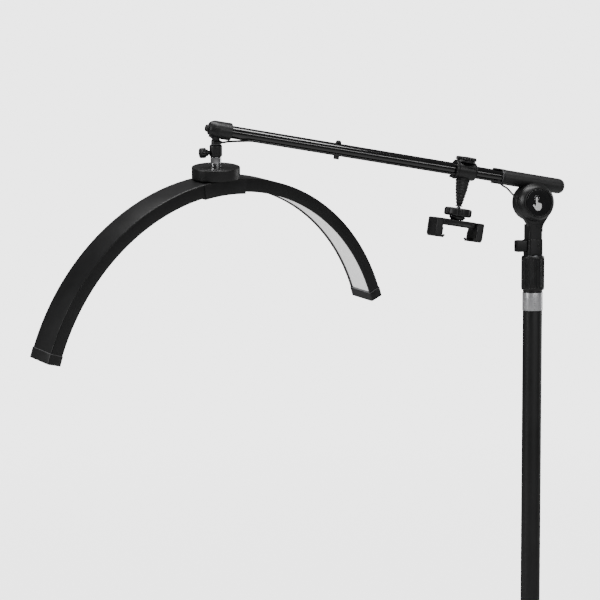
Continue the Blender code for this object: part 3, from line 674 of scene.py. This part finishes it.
def make_lift():
    inner = section(0.0124, 0.0112, -0.582, -0.079)
    piece("inner_tube", spun(inner, 80, 0.0003, closed=True), LIFT, "aluminium", "lift", ["inner_column"])
    layers = (
        (0.0122, -0.0818, 0.0058), (0.0126, -0.0811, 0.0060), (0.0127, -0.0790, 0.0062),
        (0.0127, -0.0735, 0.0062), (0.0125, -0.0680, 0.0056), (0.0124, -0.0630, 0.0053),
        (0.0122, -0.0573, 0.0050), (0.0118, -0.0568, 0.0047),
    )
    neck = piece("neck_casting", skin([box_ring(half, half, z, corner, 6) for half, z, corner in layers]),
                 LIFT, "shell", "lift", ["neck_base"])
    carve(neck, plug(0.0022, -0.003, 0.006, 32), LIFT @ facing(NEAR, (0.004, -0.0098, -0.0665)))
    carve(neck, plug(0.0060, -0.058, -0.0505, 48), LIFT, "UNION")
    reach = LIFT @ shift(-0.0131, 0, -0.067) @ rotation(-90, "Y")
    inlet = skin([box_ring(x, y, z, c, 5) for x, y, z, c in (
        (0.0092, 0.0062, 0.0, 0.0020), (0.0092, 0.0062, 0.0138, 0.0020), (0.0090, 0.0060, 0.0152, 0.0020),
        (0.0084, 0.0054, 0.0162, 0.0018), (0.0078, 0.0048, 0.0165, 0.0016),
    )])
    inlet = piece("power_inlet_housing", inlet, reach, "shell", "lift", ["power_inlet"])
    carve(inlet, plug(0.0031, 0, 0.012, 40), LIFT @ facing(LEFT, (-0.0205, 0, -0.067)))
    pin = spun([(0.0011, 0), (0.0011, 0.0062), (0.0005, 0.0070)], 24, 0.0002)
    piece("power_inlet_pin", pin, LIFT @ facing(LEFT, (-0.0206, 0, -0.067)), "steel", "lift")
    screw = spun([(0.0017, 0), (0.0017, 0.0026), (0.0020, 0.0028), (0.0019, 0.0036), (0.0012, 0.0040),
                  (0.0001, 0.0042)], 40, 0.0002)
    at = LIFT @ facing(NEAR, (0.004, -0.0096, -0.0665))
    screw = piece("neck_screw_head", screw, at, "shell", "lift", ["neck_screw"])
    for angle in (0, 90):
        carve(screw, slab((0.0013, 0.00028, 0.0008), 0.0001, (0, 0, 0.0042), 1),
              at @ rotation(angle + 20, "Z"))


# Head


def drop_outline(radius, neck, steps=48):
    """A disc above that tapers to the neck below."""
    outline = []
    for i in range(steps + 1):
        angle = math.radians(-26 + 232 * i / steps)
        outline.append((radius * math.cos(angle), radius * math.sin(angle)))
    for side in (-1, 1):
        flank = [
            (side * 0.0232, -0.0186), (side * 0.0195, -0.0245), (side * 0.0160, -0.0296),
            (side * (neck + 0.0014), -0.0345), (side * neck, -0.0390), (side * neck, -0.0450),
        ]
        outline += flank if side < 0 else reversed(flank)
    return outline


def make_head():
    place = LIFT @ FRONT
    housing = pull(drop_outline(0.0295, 0.0116), 0.0010, 0.0112, 0.0018, 5)
    housing = piece("head_shell", housing, place, "shell", "head", ["head_housing"])
    neck = skin([box_ring(0.0116, 0.0116, z, 0.0046, 6) for z in (-0.0565, -0.0340)])
    carve(housing, neck, LIFT, "UNION")
    carve(housing, plug(0.0215, 0, 0.03, 72), LIFT @ facing(NEAR, (0, -0.0045, 0)))
    carve(housing, plug(0.0044, 0, 0.03, 32), LIFT @ facing(NEAR, (0, 0.01, 0)))
    carve(housing, plug(0.0064, 0, 0.0085, 40), LIFT @ shift(0, 0, -0.0585))
    rounded(housing, 0.0004, 35)
    rib = pull([(-0.0088, -0.0320), (-0.0070, -0.0312), (0.0062, -0.0396), (0.0062, -0.0410),
                (0.0044, -0.0410)], 0.0107, 0.0117, 0.0003, 2)
    piece("neck_rib", rib, place, "shell", "head")
    gland = spun([(0.0034, -0.001), (0.0034, 0.0015), (0.0028, 0.0022), (0.0026, 0.0066), (0.0019, 0.0075),
                  (0.0016, 0.0075)], 36, 0.0003)
    piece("head_gland", gland, LIFT @ facing(GLAND_WAY, GLAND_PLACE), "rubber", "head")

    bezel = [
        (0.0292, 0.0115), (0.0290, 0.0128), (0.0282, 0.0142), (0.0266, 0.0168), (0.0250, 0.0188),
        (0.0236, 0.0199), (0.0222, 0.0203), (0.0214, 0.0202), (0.0211, 0.0198), (0.0211, 0.0175),
        (0.0185, 0.0175), (0.0185, 0.0115),
    ]
    piece("touch_bezel_ring", spun(bezel, 128, 0.0004, closed=True), place, "shell", "head", ["touch_bezel"])
    panel = [(0.0001, 0.0178), (0.0208, 0.0178), (0.0208, 0.0195), (0.0203, 0.0200), (0.0150, 0.0201),
             (0.0001, 0.0201)]
    piece("touch_panel_glass", spun(panel, 128, 0.0003), place, "panel", "head", ["touch_panel"])
    make_hand_mark(place)
    nut = [
        (0.0001, -0.0198), (0.0082, -0.0198), (0.0095, -0.0208), (0.0095, -0.0245), (0.0082, -0.0259),
        (0.0045, -0.0260), (0.0040, -0.0252), (0.0001, -0.0252),
    ]

    def grooved(angle, height):
        return 0.0007 * (0.5 - 0.5 * math.cos(24 * angle)) if -0.0250 < height < -0.0203 else 0

    piece("friction_nut_cap", spun(nut, 96, 0.0004, wave=grooved), place, "shell", "head", ["pivot_nut"])


def stroke(points, width, thick=INK_THICKNESS):
    """A printed line of even width, with round joints."""
    meshes = []
    for a, b in zip(points, points[1:]):
        a, b = Vector(a), Vector(b)
        along = (b - a).normalized()
        outline = []
        for centre, start in ((b, -90), (a, 90)):
            for k in range(7):
                angle = math.atan2(along.y, along.x) + math.radians(start + 30 * k)
                outline.append(centre + Vector((math.cos(angle), math.sin(angle))) * width / 2)
        meshes.append(skin([[(p.x, p.y, h) for p in outline] for h in (INK_BASE, INK_BASE + thick)]))
    return meshes


def arc(centre, radius, start, end, steps=12):
    points = []
    for k in range(steps + 1):
        angle = math.radians(start + (end - start) * k / steps)
        points.append((centre[0] + radius * math.cos(angle), centre[1] + radius * math.sin(angle)))
    return points


def make_hand_mark(place):
    """A generic touch mark: a hand with one finger up and a ripple round its tip."""
    line = 0.00085
    marks = stroke(arc((-0.0010, 0.0066), 0.0038, -42, 222, 20), line)
    # Palm and folded fingers, then the raised finger and the thumb
    palm = [
        (-0.0024, -0.0020), (0.0064, -0.0026), (0.0072, -0.0048), (0.0066, -0.0082), (0.0052, -0.0112),
        (0.0040, -0.0122), (-0.0014, -0.0122), (-0.0030, -0.0108), (-0.0036, -0.0082),
    ]
    marks.append(skin([[(x, y, z) for x, y in palm] for z in (INK_BASE, INK_BASE + INK_THICKNESS)]))
    for start, end, width, thick in (
        ((-0.0010, 0.0072), (-0.0010, -0.0040), 0.0027, 0.00008),
        ((0.0017, -0.0012), (0.0017, -0.0040), 0.0024, 0.00007),
        ((0.0041, -0.0018), (0.0041, -0.0050), 0.0024, 0.00006),
        ((0.0061, -0.0028), (0.0061, -0.0058), 0.0021, 0.00005),
        ((-0.0062, -0.0040), (-0.0026, -0.0092), 0.0024, 0.00010),
    ):
        marks += stroke([start, end], width, thick)
    piece("touch_hand_mark", merged(*marks), place @ shift(-0.0026, 0.0002, 0), "ink", "head")


# Boom


def make_boom():
    disc = [
        (0.0001, -0.001), (0.0255, -0.001), (0.0275, -0.0014), (0.0285, -0.0030), (0.0285, -0.0162),
        (0.0274, -0.0184), (0.0250, -0.0190), (0.0001, -0.0190),
    ]
    bracket = piece("tilt_disc", spun(disc, 128, 0.0005), BOOM @ FRONT, "shell", "boom", ["boom_bracket"])
    carve(bracket, plug(0.0044, 0, 0.03, 32), BOOM @ facing(NEAR, (0, 0.025, 0)))
    carve(bracket, plug(0.0120, -0.05, 0.05, 72), AXIS @ ALONG)

    length = HANDLE_REAR - HANDLE_FRONT
    shell = [
        (BOOM_RADIUS + GAP, 0), (0.0110, 0), (0.0116, 0.0006), (0.0117, 0.0016), (0.0114, 0.0021),
        (0.0114, 0.0027), (0.0117, 0.0032), (0.0117, length - 0.0100), (0.0116, length - 0.0080),
        (0.0110, length - 0.0056), (0.0099, length - 0.0034), (0.0083, length - 0.0017),
        (0.0064, length - 0.0006), (0.0046, length - 0.0001), (0.0040, length - 0.0010),
        (0.0040, length - 0.0060), (BOOM_RADIUS + GAP, length - 0.0060),
    ]
    handle = spun(shell, 96, 0.0004, closed=True)
    tongues = [
        slab((0.0090, 0.0044, 0.0012), 0.0005, (HANDLE_FRONT - 0.0045, 0, side * (BOOM_RADIUS + 0.0013)))
        for side in (1, -1)
    ]
    piece("boom_grip", handle, AXIS @ ALONG @ shift(0, 0, HANDLE_FRONT), "grip", "boom", ["boom_handle"])
    piece("boom_grip_tongues", merged(*tongues), AXIS, "shell", "boom")
    # A thin pale ring at the grip's front edge: a painted highlight line
    highlight_rim = spun([(0.0097, -0.0003), (0.0113, -0.0003), (0.0113, 0.0004), (0.0097, 0.0004)], 96, 0.0002,
               closed=True)
    piece("boom_grip_highlight_rim", highlight_rim, AXIS @ ALONG @ shift(0, 0, HANDLE_FRONT), "highlight_rim", "boom")

    rod = section(BOOM_RADIUS, BOOM_RADIUS - 0.0011, -BOOM_REACH + 0.0125, 0.046)
    piece("boom_rod", spun(rod, 96, 0.0003, closed=True), AXIS @ ALONG, "gloss", "boom", ["boom_tube"])
    at = AXIS @ shift(BOLT_PLACE, 0, 0)
    head = [(0.0001, 0.0092), (0.0042, 0.0092), (0.0043, 0.0110), (0.0038, 0.0127), (0.0026, 0.0137),
            (0.0001, 0.0140)]
    piece("boom_bolt_head", spun(head, 48, 0.0005), at, "shell", "boom", ["boom_bolt"])
    nut = ((0.0040, -0.0092), (0.0046, -0.0096), (0.0046, -0.0134), (0.0038, -0.0145))
    nut = skin([ring(r, z, 6) for r, z in nut])
    piece("boom_bolt_hex", nut, at, "shell", "boom", ["boom_bolt_nut"], sharp=25)


def cable_line(x):
    reach = BOOM_RADIUS + CABLE_RADIUS + GAP
    turn = math.radians(CABLE_TURN)
    return Vector((x, BOOM_BACK - reach * math.sin(turn), BOOM_RISE - reach * math.cos(turn)))


def make_cables():
    knots = [cable_line(x) for x in (-0.458, -0.40, -0.35, -0.27, -0.20, -0.13, HANDLE_FRONT - 0.009 - GAP)]
    piece("cable_along_boom", pipe(smooth_route(knots, 0.012), CABLE_RADIUS), BOOM, "sheath", "boom",
          ["cable_run"])

    to_leg = BOOM.inverted() @ LEG
    leg_way = to_leg.to_3x3() @ Vector((1, 0, 0))
    leg_exit = to_leg @ Vector((0.0093, 0, LEG_CABLE))
    start = cable_line(-0.4583)
    lead = [
        start, start + Vector((-0.009, 0.0004, -0.0012)),
        leg_exit + leg_way * 0.011 + Vector((0, -0.0012, 0.0008)), leg_exit + leg_way * 0.004, leg_exit,
    ]
    route = smooth_route(lead, 0.0012)
    middle = len(route) // 2
    for name, part, *bodies in (
        ("cable_to_elbow", route[: middle + 1], "boom", "elbow"),
        ("cable_to_leg", route[middle:], "elbow", "leg"),
    ):
        half = piece(name, pipe(part, CABLE_RADIUS), BOOM, "sheath", None)
        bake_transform(half)
        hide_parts("cable_lamp_end")

    to_head = rotation(-BOOM_TILT, "Y")
    way = Vector(GLAND_WAY)
    head_exit = to_head @ (Vector(GLAND_PLACE) + way * (0.0075 + GAP))
    start = cable_line(HANDLE_FRONT - 0.0087)
    lead = [
        start, start + Vector((0.0035, -0.0005, -0.0008)), start + Vector((0.0095, -0.0028, -0.0052)),
        (start + head_exit) / 2 + Vector((0.0010, -0.0008, 0.0012)),
        head_exit + to_head @ way * 0.006, head_exit,
    ]
    route = smooth_route(lead, 0.0012)
    loop = piece("cable_to_head", pipe(route, CABLE_RADIUS), BOOM, "sheath", None)
    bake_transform(loop)
    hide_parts("cable_head_end")


# Elbow


def make_elbow():
    length = 0.0342
    barrel = [
        (0.0001, 0), (0.0078, 0.0001), (0.0098, 0.0012), (0.0117, 0.0040), (0.0127, 0.0070),
        (0.0130, 0.0095), (0.0130, length - 0.0008), (0.0123, length), (0.0001, length),
    ]
    along = ELBOW @ ALONG @ shift(0, 0, -0.0112)
    barrel = piece("elbow_casting", spun(barrel, 96, 0.0004), along, "joint", "elbow", ["elbow_barrel"])
    carve(barrel, plug(BOOM_RADIUS + GAP, 0.0118, 0.04, 72), ELBOW @ ALONG)
    # The skirt stands round the leg, and the slot opens through it
    carve(barrel, spun([(0.0082, -0.0131), (0.0082, -0.0050)], 64, 0.0004), ELBOW @ shift(-0.0011, 0, 0),
          "UNION")
    carve(barrel, slab((0.0104, 0.0054, 0.0112), 0.0006, (0, 0, -0.0042)), ELBOW)
    carve(barrel, plug(0.0021, -0.02, 0.02, 32), ELBOW @ FRONT)
    rounded(barrel, 0.0003, 40)
    button = [(0.0001, 0), (0.0052, 0), (0.0054, 0.0030), (0.0049, 0.0044), (0.0036, 0.0053),
              (0.0001, 0.0055)]
    piece("elbow_end_button", spun(button, 48, 0.0004), ELBOW @ facing(LEFT, (-0.0108, 0, 0)), "joint",
          "elbow", ["elbow_button"])
    cap = [(0.0001, 0.0118), (0.0050, 0.0118), (0.0050, 0.0128), (0.0042, 0.0131), (0.0001, 0.0132)]
    piece("elbow_pin_cap", spun(cap, 48, 0.0002), ELBOW @ FRONT @ shift(0, 0, -0.0003), "shell", "elbow")

    knuckle = spun([(0.0001, -0.0046), (0.0060, -0.0046), (0.0060, 0.0046), (0.0001, 0.0046)], 56, 0.0006)
    leg = piece("elbow_leg_casting", knuckle, LEG @ FRONT, "joint", "leg", ["elbow_leg"])
    shank = skin([oval(wide, deep, z, 56, aside) for wide, deep, aside, z in (
        (0.0066, 0.0066, 0, -0.0223), (0.0070, 0.0070, 0, -0.0219), (0.0070, 0.0070, 0, -0.0173),
        (0.0068, 0.0060, -0.0004, -0.0163), (0.0060, 0.0044, 0, -0.0155), (0.0058, 0.0044, 0, -0.0020),
    )])
    carve(leg, shank, LEG, "UNION")
    carve(leg, plug(0.0021, -0.02, 0.02, 32), LEG @ FRONT)
    gland = spun([(0.0030, 0.0025), (0.0030, 0.0036), (0.0026, 0.0040), (0.0022, 0.0055), (0.0016, 0.0055)],
                 32, 0.0002)
    piece("leg_gland", gland, LEG @ facing((1, 0, 0), (0.0035, 0, LEG_CABLE)), "rubber", "leg")
    # A thin pale ring round the leg: a painted highlight line
    highlight_collar = spun([(0.0066, -0.0216), (0.0071, -0.0214), (0.0071, -0.0208), (0.0066, -0.0206)], 64, 0.0002,
                  closed=True)
    piece("leg_highlight_collar", highlight_collar, LEG, "highlight_rim", "leg")

    high, low = SOCKET_TOP, SOCKET_BOTTOM
    socket = [
        (0.0086, low), (0.0092, low + 0.0004), (0.0094, low + 0.0012), (0.0094, high - 0.0022),
        (0.0091, high - 0.0008), (0.0082, high), (0.0020, high), (0.0020, high - 0.0035),
        (0.0054, high - 0.0035), (0.0054, low),
    ]
    socket = piece("socket_casting", spun(socket, 88, 0.0003, closed=True), LEG, "joint", "leg",
                   ["lamp_socket"])
    carve(socket, plug(0.0024, 0, 0.02, 32), LEG @ facing(LEFT, (-0.003, 0, -SCREW_DROP)))
    screw = [
        (0.0001, 0.0056), (0.0021, 0.0056), (0.0021, 0.0100), (0.0032, 0.0100), (0.0032, 0.0116),
        (0.0050, 0.0122), (0.0050, 0.0150), (0.0072, 0.0155), (0.0076, 0.0162), (0.0076, 0.0230),
        (0.0071, 0.0240), (0.0055, 0.0247), (0.0001, 0.0247),
    ]

    def knurl(angle, height):
        return 0.0005 * (0.5 - 0.5 * math.cos(18 * angle)) if 0.0158 < height < 0.0236 else 0

    screw = spun(screw, 144, 0.0003, wave=knurl)
    piece("thumb_screw_knob", screw, LEG @ shift(0, 0, -SCREW_DROP) @ facing(LEFT), "shell",
          "socket_screw", ["thumb_screw"])


# Lamp


def bow(radius, angle, across):
    return (radius * math.sin(angle), across, BOW_TOP + radius * math.cos(angle))


def bowed(outline, start, end, steps, soft=0.0):
    """Sweeps (radius, across) pairs along the lamp's bow."""
    line = soften(outline, soft, 3, closed=True) if soft else outline
    rings = []
    for i in range(steps + 1):
        angle = start + (end - start) * i / steps
        rings.append([bow(radius, angle, across) for radius, across in line])
    return skin(rings)


def make_lamp():
    high, low = SOCKET_BOTTOM - GAP, HUB_TOP + GAP
    spigot = [
        (0.0001, high + 0.0128), (0.0045, high + 0.0128), (0.0051, high + 0.0120), (0.0051, high),
        (0.0074, high), (0.0080, high - 0.0007), (0.0080, low + 0.0007), (0.0074, low), (0.0051, low),
        (0.0051, low - 0.006), (0.0001, low - 0.006),
    ]
    piece("chrome_spigot", spun(spigot, 96, 0.0003), LAMP, "chrome", "lamp", ["spigot"])
    top, bottom, wide = HUB_TOP, HUB_BOTTOM, HUB_RADIUS
    hub = [
        (wide, bottom), (wide, top - 0.0012), (wide - 0.0003, top - 0.0004), (wide - 0.0012, top),
        (wide - 0.0085, top), (wide - 0.0090, top - 0.0004), (wide - 0.0095, top), (0.0054, top),
        (0.0054, top - 0.0028), (wide - 0.0025, top - 0.0028), (wide - 0.0025, bottom),
    ]
    piece("driver_cover", spun(hub, 144, 0.0003, closed=True), LAMP, "shell", "lamp", ["driver_housing"])
    seat = spun([(0.0082, top - 0.0002), (0.0105, top - 0.0002), (0.0100, top + 0.0010),
                 (0.0082, top + 0.0011)], 64, 0.0002, closed=True)
    piece("spigot_seat", seat, LAMP, "joint", "lamp")

    half, inner = BOW_WIDTH / 2, BOW_RADIUS - BOW_THICKNESS
    body = section(BOW_RADIUS - 0.0002, inner - 0.0030, -half - 0.0008, half + 0.0008)
    piece("bow_bracket", bowed(body, -BOW_START, BOW_START, 24, 0.0012), LAMP, "shell", "lamp",
          ["centre_bracket"])
    for side in (-1, 1):
        for across in (-0.012, 0.012):
            angle = side * SCREW_ANGLE
            way = (math.sin(angle), 0, -math.cos(angle))
            place = LAMP @ facing(way, bow(inner - 0.0028, angle, across))
            head = spun([(0.0030, 0), (0.0030, 0.0004), (0.0024, 0.0009), (0.0012, 0.0009), (0.0012, 0.0002),
                         (0.0001, 0.0002)], 32, 0.0001)
            name = f"bracket_screw_{'left' if side < 0 else 'right'}_{'near' if across < 0 else 'far'}"
            piece(name, head, place, "steel", "lamp")

    outer = BOW_RADIUS
    channel = [
        (outer, -half + 0.0009), (outer, half - 0.0009), (outer - 0.0009, half), (inner, half),
        (inner, half - BOW_WALL), (outer - BOW_WALL, half - BOW_WALL),
        (outer - BOW_WALL, -half + BOW_WALL), (inner, -half + BOW_WALL), (inner, -half),
        (outer - 0.0009, -half),
    ]
    inside = half - BOW_WALL - GAP
    cover = [
        (inner + 0.0042, -inside), (inner + 0.0042, inside), (inner + 0.0026, inside),
        (inner + 0.0018, inside - 0.004), (inner + 0.0015, 0), (inner + 0.0018, -inside + 0.004),
        (inner + 0.0026, -inside),
    ]
    cap = section(outer + 0.0010, inner - 0.0012, -half - 0.0010, half + 0.0010)
    # Thin pale rings at the caps' edges: painted highlight lines
    highlight_rim = section(outer + 0.0006, inner - 0.0007, -half - 0.0006, half + 0.0006)
    step = GAP / BOW_RADIUS
    for side, name in ((-1, "left"), (1, "right")):
        ends = side * (BOW_START + step), side * (BOW_END - step)
        piece(f"arm_shell_{name}", bowed(channel, *ends, 72, 0.0003), LAMP, "arm", "lamp", [f"arm_{name}"])
        ends = side * (BOW_START + 4 * step), side * (BOW_END - 4 * step)
        piece(f"opal_cover_{name}", bowed(cover, *ends, 72, 0.0003), LAMP, "opal", "lamp",
              [f"diffuser_{name}"])
        ends = side * (BOW_END + 2 * step), side * (BOW_END + CAP_ARC)
        piece(f"tip_cap_{name}", bowed(cap, *ends, 8, 0.0024), LAMP, "shell", "lamp", [f"end_cap_{name}"])
        # A pale ring where each arm meets its tip cap: a painted highlight on the cap's proud edge
        ends = side * (BOW_END - 0.5 * step), side * (BOW_END + 2.5 * step)
        piece(f"tip_highlight_rim_{name}", bowed(highlight_rim, *ends, 2, 0.0012), LAMP, "highlight_rim", "lamp")


# Phone holder


def make_phone_holder():
    half = CLAMP_HALF
    body = [
        (BOOM_RADIUS + GAP, -half), (0.0142, -half), (0.0148, -half + 0.0006), (0.0148, -half + 0.0034),
        (0.0143, -half + 0.0041), (0.0140, -half + 0.0046), (0.0142, -half + 0.0060),
        (0.0142, half - 0.0034), (0.0137, half - 0.0013), (0.0127, half), (BOOM_RADIUS + GAP, half),
    ]
    body = piece("clamp_collar", spun(body, 96, 0.0003, closed=True), CLAMP @ ALONG, "shell", "phone_clamp",
                 ["boom_clamp"])
    groove = cable_line(0) - Vector((0, BOOM_BACK, BOOM_RISE))
    carve(body, plug(CABLE_RADIUS + 0.0008, -0.03, 0.03, 40),
          CLAMP @ facing((1, 0, 0), (0, groove.y, groove.z)))
    carve(body, plug(0.0024, 0, 0.02, 32), CLAMP @ shift(0, 0, 0.004))
    carve(body, slab((0.0060, 0.0030, 0.0007), 0.0002, (0.0060, -0.0140, 0.0040), 1), CLAMP)
    pad = spun([(0.0024, 0.0118), (0.0152, 0.0118), (0.0152, 0.0144), (0.0146, 0.0150), (0.0024, 0.0150)],
               72, 0.0003, closed=True)
    piece("clamp_pad", pad, CLAMP, "shell", "phone_clamp")
    lip = slab((0.0045, 0.0050, 0.0018), 0.0008, (-0.0175, -0.0010, -0.0115), 3)
    piece("clamp_lip", lip, CLAMP, "shell", "phone_clamp")

    knob = [
        (0.0001, 0.0100), (0.0021, 0.0100), (0.0021, 0.0152), (0.0140, 0.0152), (0.0158, 0.0155),
        (0.0165, 0.0164), (0.0165, 0.0190), (0.0160, 0.0202), (0.0146, 0.0209), (0.0110, 0.0210),
        (0.0105, 0.0205), (0.0060, 0.0205), (0.0055, 0.0210), (0.0001, 0.0210),
    ]
    star = [lobed_ring(r, z, 160, 5, 0.0040, 1.3, 40, (0.0056, 0.0151)) for r, z in soften(knob, 0.0004)]
    piece("clamp_knob_star", skin(star), CLAMP, "shell", "clamp_knob", ["clamp_knob"])

    layers = []
    top, bottom = -0.0110, -0.0533
    for k in range(111):
        t = k / 110
        z = top + (bottom - top) * t
        wide = 0.0118 - 0.0069 * t**1.4
        deep = wide * (0.70 + 0.30 * t)
        # Ribs stand every 4.8 mm, with a rounded groove between them
        rib = max(0, math.cos(math.tau * (z - top) / 0.0048)) ** 0.5 if 0.03 < t < 0.97 else 0
        inset = 0.0008 * (1 - rib)
        layers.append(oval(wide - inset, deep - inset, z, 64))
    for r, z in ((0.0048, -0.0535), (0.0056, -0.0541), (0.0058, -0.0546), (0.0056, -0.0551)):
        layers.append(ring(r, z, 64))
    stem = piece("ribbed_stem", skin(layers), CLAMP, "grip", "phone_clamp", ["holder_stem"])
    carve(stem, plug(0.0019, 0, 0.012, 24), CLAMP @ shift(0, 0, -0.060))
    ball = [(0.0001, -0.0500), (0.0016, -0.0500), (0.0016, -0.0554), (0.0030, -0.0554), (0.0030, -0.0575)]
    for k in range(15):
        angle = math.radians(56 - 10.4 * k)
        ball.append((0.0054 * math.cos(angle), -BALL_DROP + 0.0054 * math.sin(angle)))
    ball.append((0.0001, -BALL_DROP - 0.0054))
    piece("pivot_ball", spun(ball, 64, 0), CLAMP, "steel", "phone_clamp", ["holder_ball"])

    high, low = BALL_DROP - 0.0578, BALL_DROP - 0.0703
    wheel = [
        (0.0074, low), (0.0180, low), (0.0198, low + 0.0006), (0.0210, low + 0.0020),
        (0.0212, low + 0.0034), (0.0212, high - 0.0034), (0.0210, high - 0.0020),
        (0.0198, high - 0.0006), (0.0180, high), (0.0110, high), (0.0100, high - 0.0008),
        (0.0070, high - 0.0008), (0.0060, high), (0.0049, high), (0.0056, high - 0.0012),
        (0.0074, high - 0.0022),
    ]
    wheel = soften(wheel, 0.0004, closed=True)
    dents = [lobed_ring(r, z, 240, 6, 0.0024, 6, -14, (0.012, 0.019)) for r, z in wheel]
    piece("lock_wheel_lobed", skin(dents, closed=True), CUP, "shell", "lock_wheel", ["lock_wheel"])

    drop = BALL_DROP
    boss = [
        (0.0001, drop - 0.0674), (0.0062, drop - 0.0674), (0.0070, drop - 0.0680),
        (0.0070, drop - 0.0707), (0.0122, drop - 0.0707), (0.0126, drop - 0.0716),
        (0.0124, drop - 0.0724), (0.0098, drop - 0.0757), (0.0001, drop - 0.0757),
    ]
    piece("clip_boss_cone", spun(boss, 72, 0.0004), CUP, "shell", "ball_cup", ["clip_boss"])

    top, bottom = drop - 0.0757 - GAP, drop - 0.0860
    middle = (top + bottom) / 2
    half = (BAR_HALF - JAW_THICKNESS + 0.0016, 0.011, (top - bottom) / 2)
    bar = slab(half, 0.0011, (-0.002, 0, middle), 4)
    bar = piece("clip_rail", bar, CUP, "shell", "phone_clip", ["clip_bar"])
    carve(bar, slab((0.0335, 0.0075, 0.0026), 0.0003, (0.010, 0, middle), 1), CUP)
    # A shallow panel sunk in the rail's front
    carve(bar, slab((0.022, 0.0006, 0.0030), 0.0003, (-0.002, -0.0111, middle), 2), CUP)
    foot = drop - 0.1055
    make_jaw("fixed_jaw", -1, top, foot, "phone_clip")
    make_jaw("moving_jaw", 1, top, foot, "clip_jaw", ["sliding_jaw"])
    tongue = slab((0.016, 0.007, 0.0021), 0.0004, (0.0185, 0, middle), 2)
    piece("moving_jaw_slide", tongue, CUP, "shell", "clip_jaw")

    turns, points = 15, []
    for k in range(turns * 14 + 1):
        angle = math.tau * k / 14
        x = -0.0222 + 0.0237 * k / (turns * 14)
        points.append(Vector((x, 0.0016 * math.cos(angle), middle + 0.0016 * math.sin(angle))))
    piece("clip_coil", pipe(points, 0.00028, 8), CUP, "steel", "phone_clip", ["clip_spring"])


def make_jaw(name, side, high, bottom, body, nodes=()):
    outer, inner = BAR_HALF, BAR_HALF - JAW_THICKNESS
    outline = [
        (inner, high - 0.0002), (outer - 0.0010, high - 0.0002), (outer, high - 0.0025),
        (outer, bottom + 0.0040), (outer - 0.0020, bottom), (inner - 0.0035, bottom),
        (inner - 0.0035, bottom + 0.0022), (inner, bottom + 0.0040),
    ]
    outline = soften(outline, 0.0022, 5, closed=True)
    jaw = pull([(side * x, z) for x, z in outline], -0.019, 0.019, 0.0022, 5)
    # The outline lies in X and Z, so it is pulled along Y
    place = CUP @ Matrix(((1, 0, 0, 0), (0, 0, -1, 0), (0, 1, 0, 0), (0, 0, 0, 1)))
    jaw = piece(name, jaw, place, "shell", body, nodes)
    middle = (high + bottom) / 2
    carve(jaw, slab((0.0006, 0.0135, 0.0090), 0.0003, (side * (outer + 0.0001), 0, middle - 0.002), 2), CUP)


def seen_or_lit(tree, seen, lit):
    """One strength for what the camera sees, another for the light that it gives."""
    camera = add(tree, "ShaderNodeLightPath").outputs["Is Camera Ray"]
    inputs = {"Value": camera, "To Min": lit, "To Max": seen}
    return add(tree, "ShaderNodeMapRange", inputs).outputs["Result"]


def aimed(name, data, place, way):
    """Puts a light or a camera at a place, facing a way."""
    obj = bpy.data.objects.new(name, data)
    obj.location = place
    obj.rotation_mode = "QUATERNION"
    obj.rotation_quaternion = way.to_track_quat("-Z", "Y")
    bpy.context.scene.collection.objects.link(obj)
    return obj


def make_studio():
    bm = bmesh.new()
    bmesh.ops.create_circle(bm, cap_ends=True, radius=FLOOR_RADIUS, segments=128)
    material, tree, surface, place = shader("matt_backdrop_paper", IOR=1.4)
    tooth = cloud(tree, place, 3.0, 4.0)
    dress(tree, surface, (tooth, "#f1f1f1", "#f6f6f6"), (tooth, 0.8, 0.9))
    distance = add(tree, "ShaderNodeVectorMath", {0: place}, operation="LENGTH").outputs["Value"]
    fade = spread(tree, distance, 1.0, 0.0, 2.6, 6.5)
    tree.links.new(fade, surface.inputs["Alpha"])
    surface.inputs["Emission Color"].default_value = (1, 1, 1, 1)
    tree.links.new(seen_or_lit(tree, 3.0, 0.08), surface.inputs["Emission Strength"])
    floor = shaped("studio_floor", bm, Matrix.Identity(4), material)

    world = bpy.data.worlds.new("studio")
    bpy.context.scene.world = world
    world.use_nodes = True
    tree = world.node_tree
    sky = tree.nodes["Background"]
    tree.links.new(seen_or_lit(tree, 3.6, 0.12), sky.inputs["Strength"])
    sky.inputs["Color"].default_value = (1, 1, 1, 1)

    lights = (
        ("overhead", (-0.3, -0.1, 3.3), (-0.2, 0, 1.2), 2.6, 0.3, 46),
        ("front_strip", (0.5, -3.4, 2.2), (-0.2, 0, 1.3), 3.2, 0.3, 24),
        ("left_strip", (-3.2, -0.2, 2.2), (-0.3, 0, 1.3), 0.5, 1.6, 30),
        ("right_strip", (2.8, 0.9, 1.7), (0, 0, 1.2), 0.4, 2.0, 16),
    )
    for name, place, target, width, height, power in lights:
        data = bpy.data.lights.new(name, "AREA")
        data.shape = "RECTANGLE"
        data.size, data.size_y, data.energy = width, height, power
        aimed(name, data, place, Vector(target) - Vector(place))


def make_camera():
    data = bpy.data.cameras.new("studio_camera")
    data.sensor_width = 36
    data.lens = CAMERA_LENS
    data.shift_y = -0.06
    data.clip_start, data.clip_end = 0.05, 60
    yaw, pitch = math.radians(CAMERA_YAW), math.radians(CAMERA_PITCH)
    way = Vector((math.sin(yaw) * math.cos(pitch), math.cos(yaw) * math.cos(pitch), -math.sin(pitch)))
    bpy.context.scene.camera = aimed("studio_camera", data, CAMERA_PLACE, way)


make_camera()
make_studio()
dress_kept_nodes()
make_stand()
make_lift()
make_head()
make_boom()
make_cables()
make_elbow()
make_lamp()
make_phone_holder()
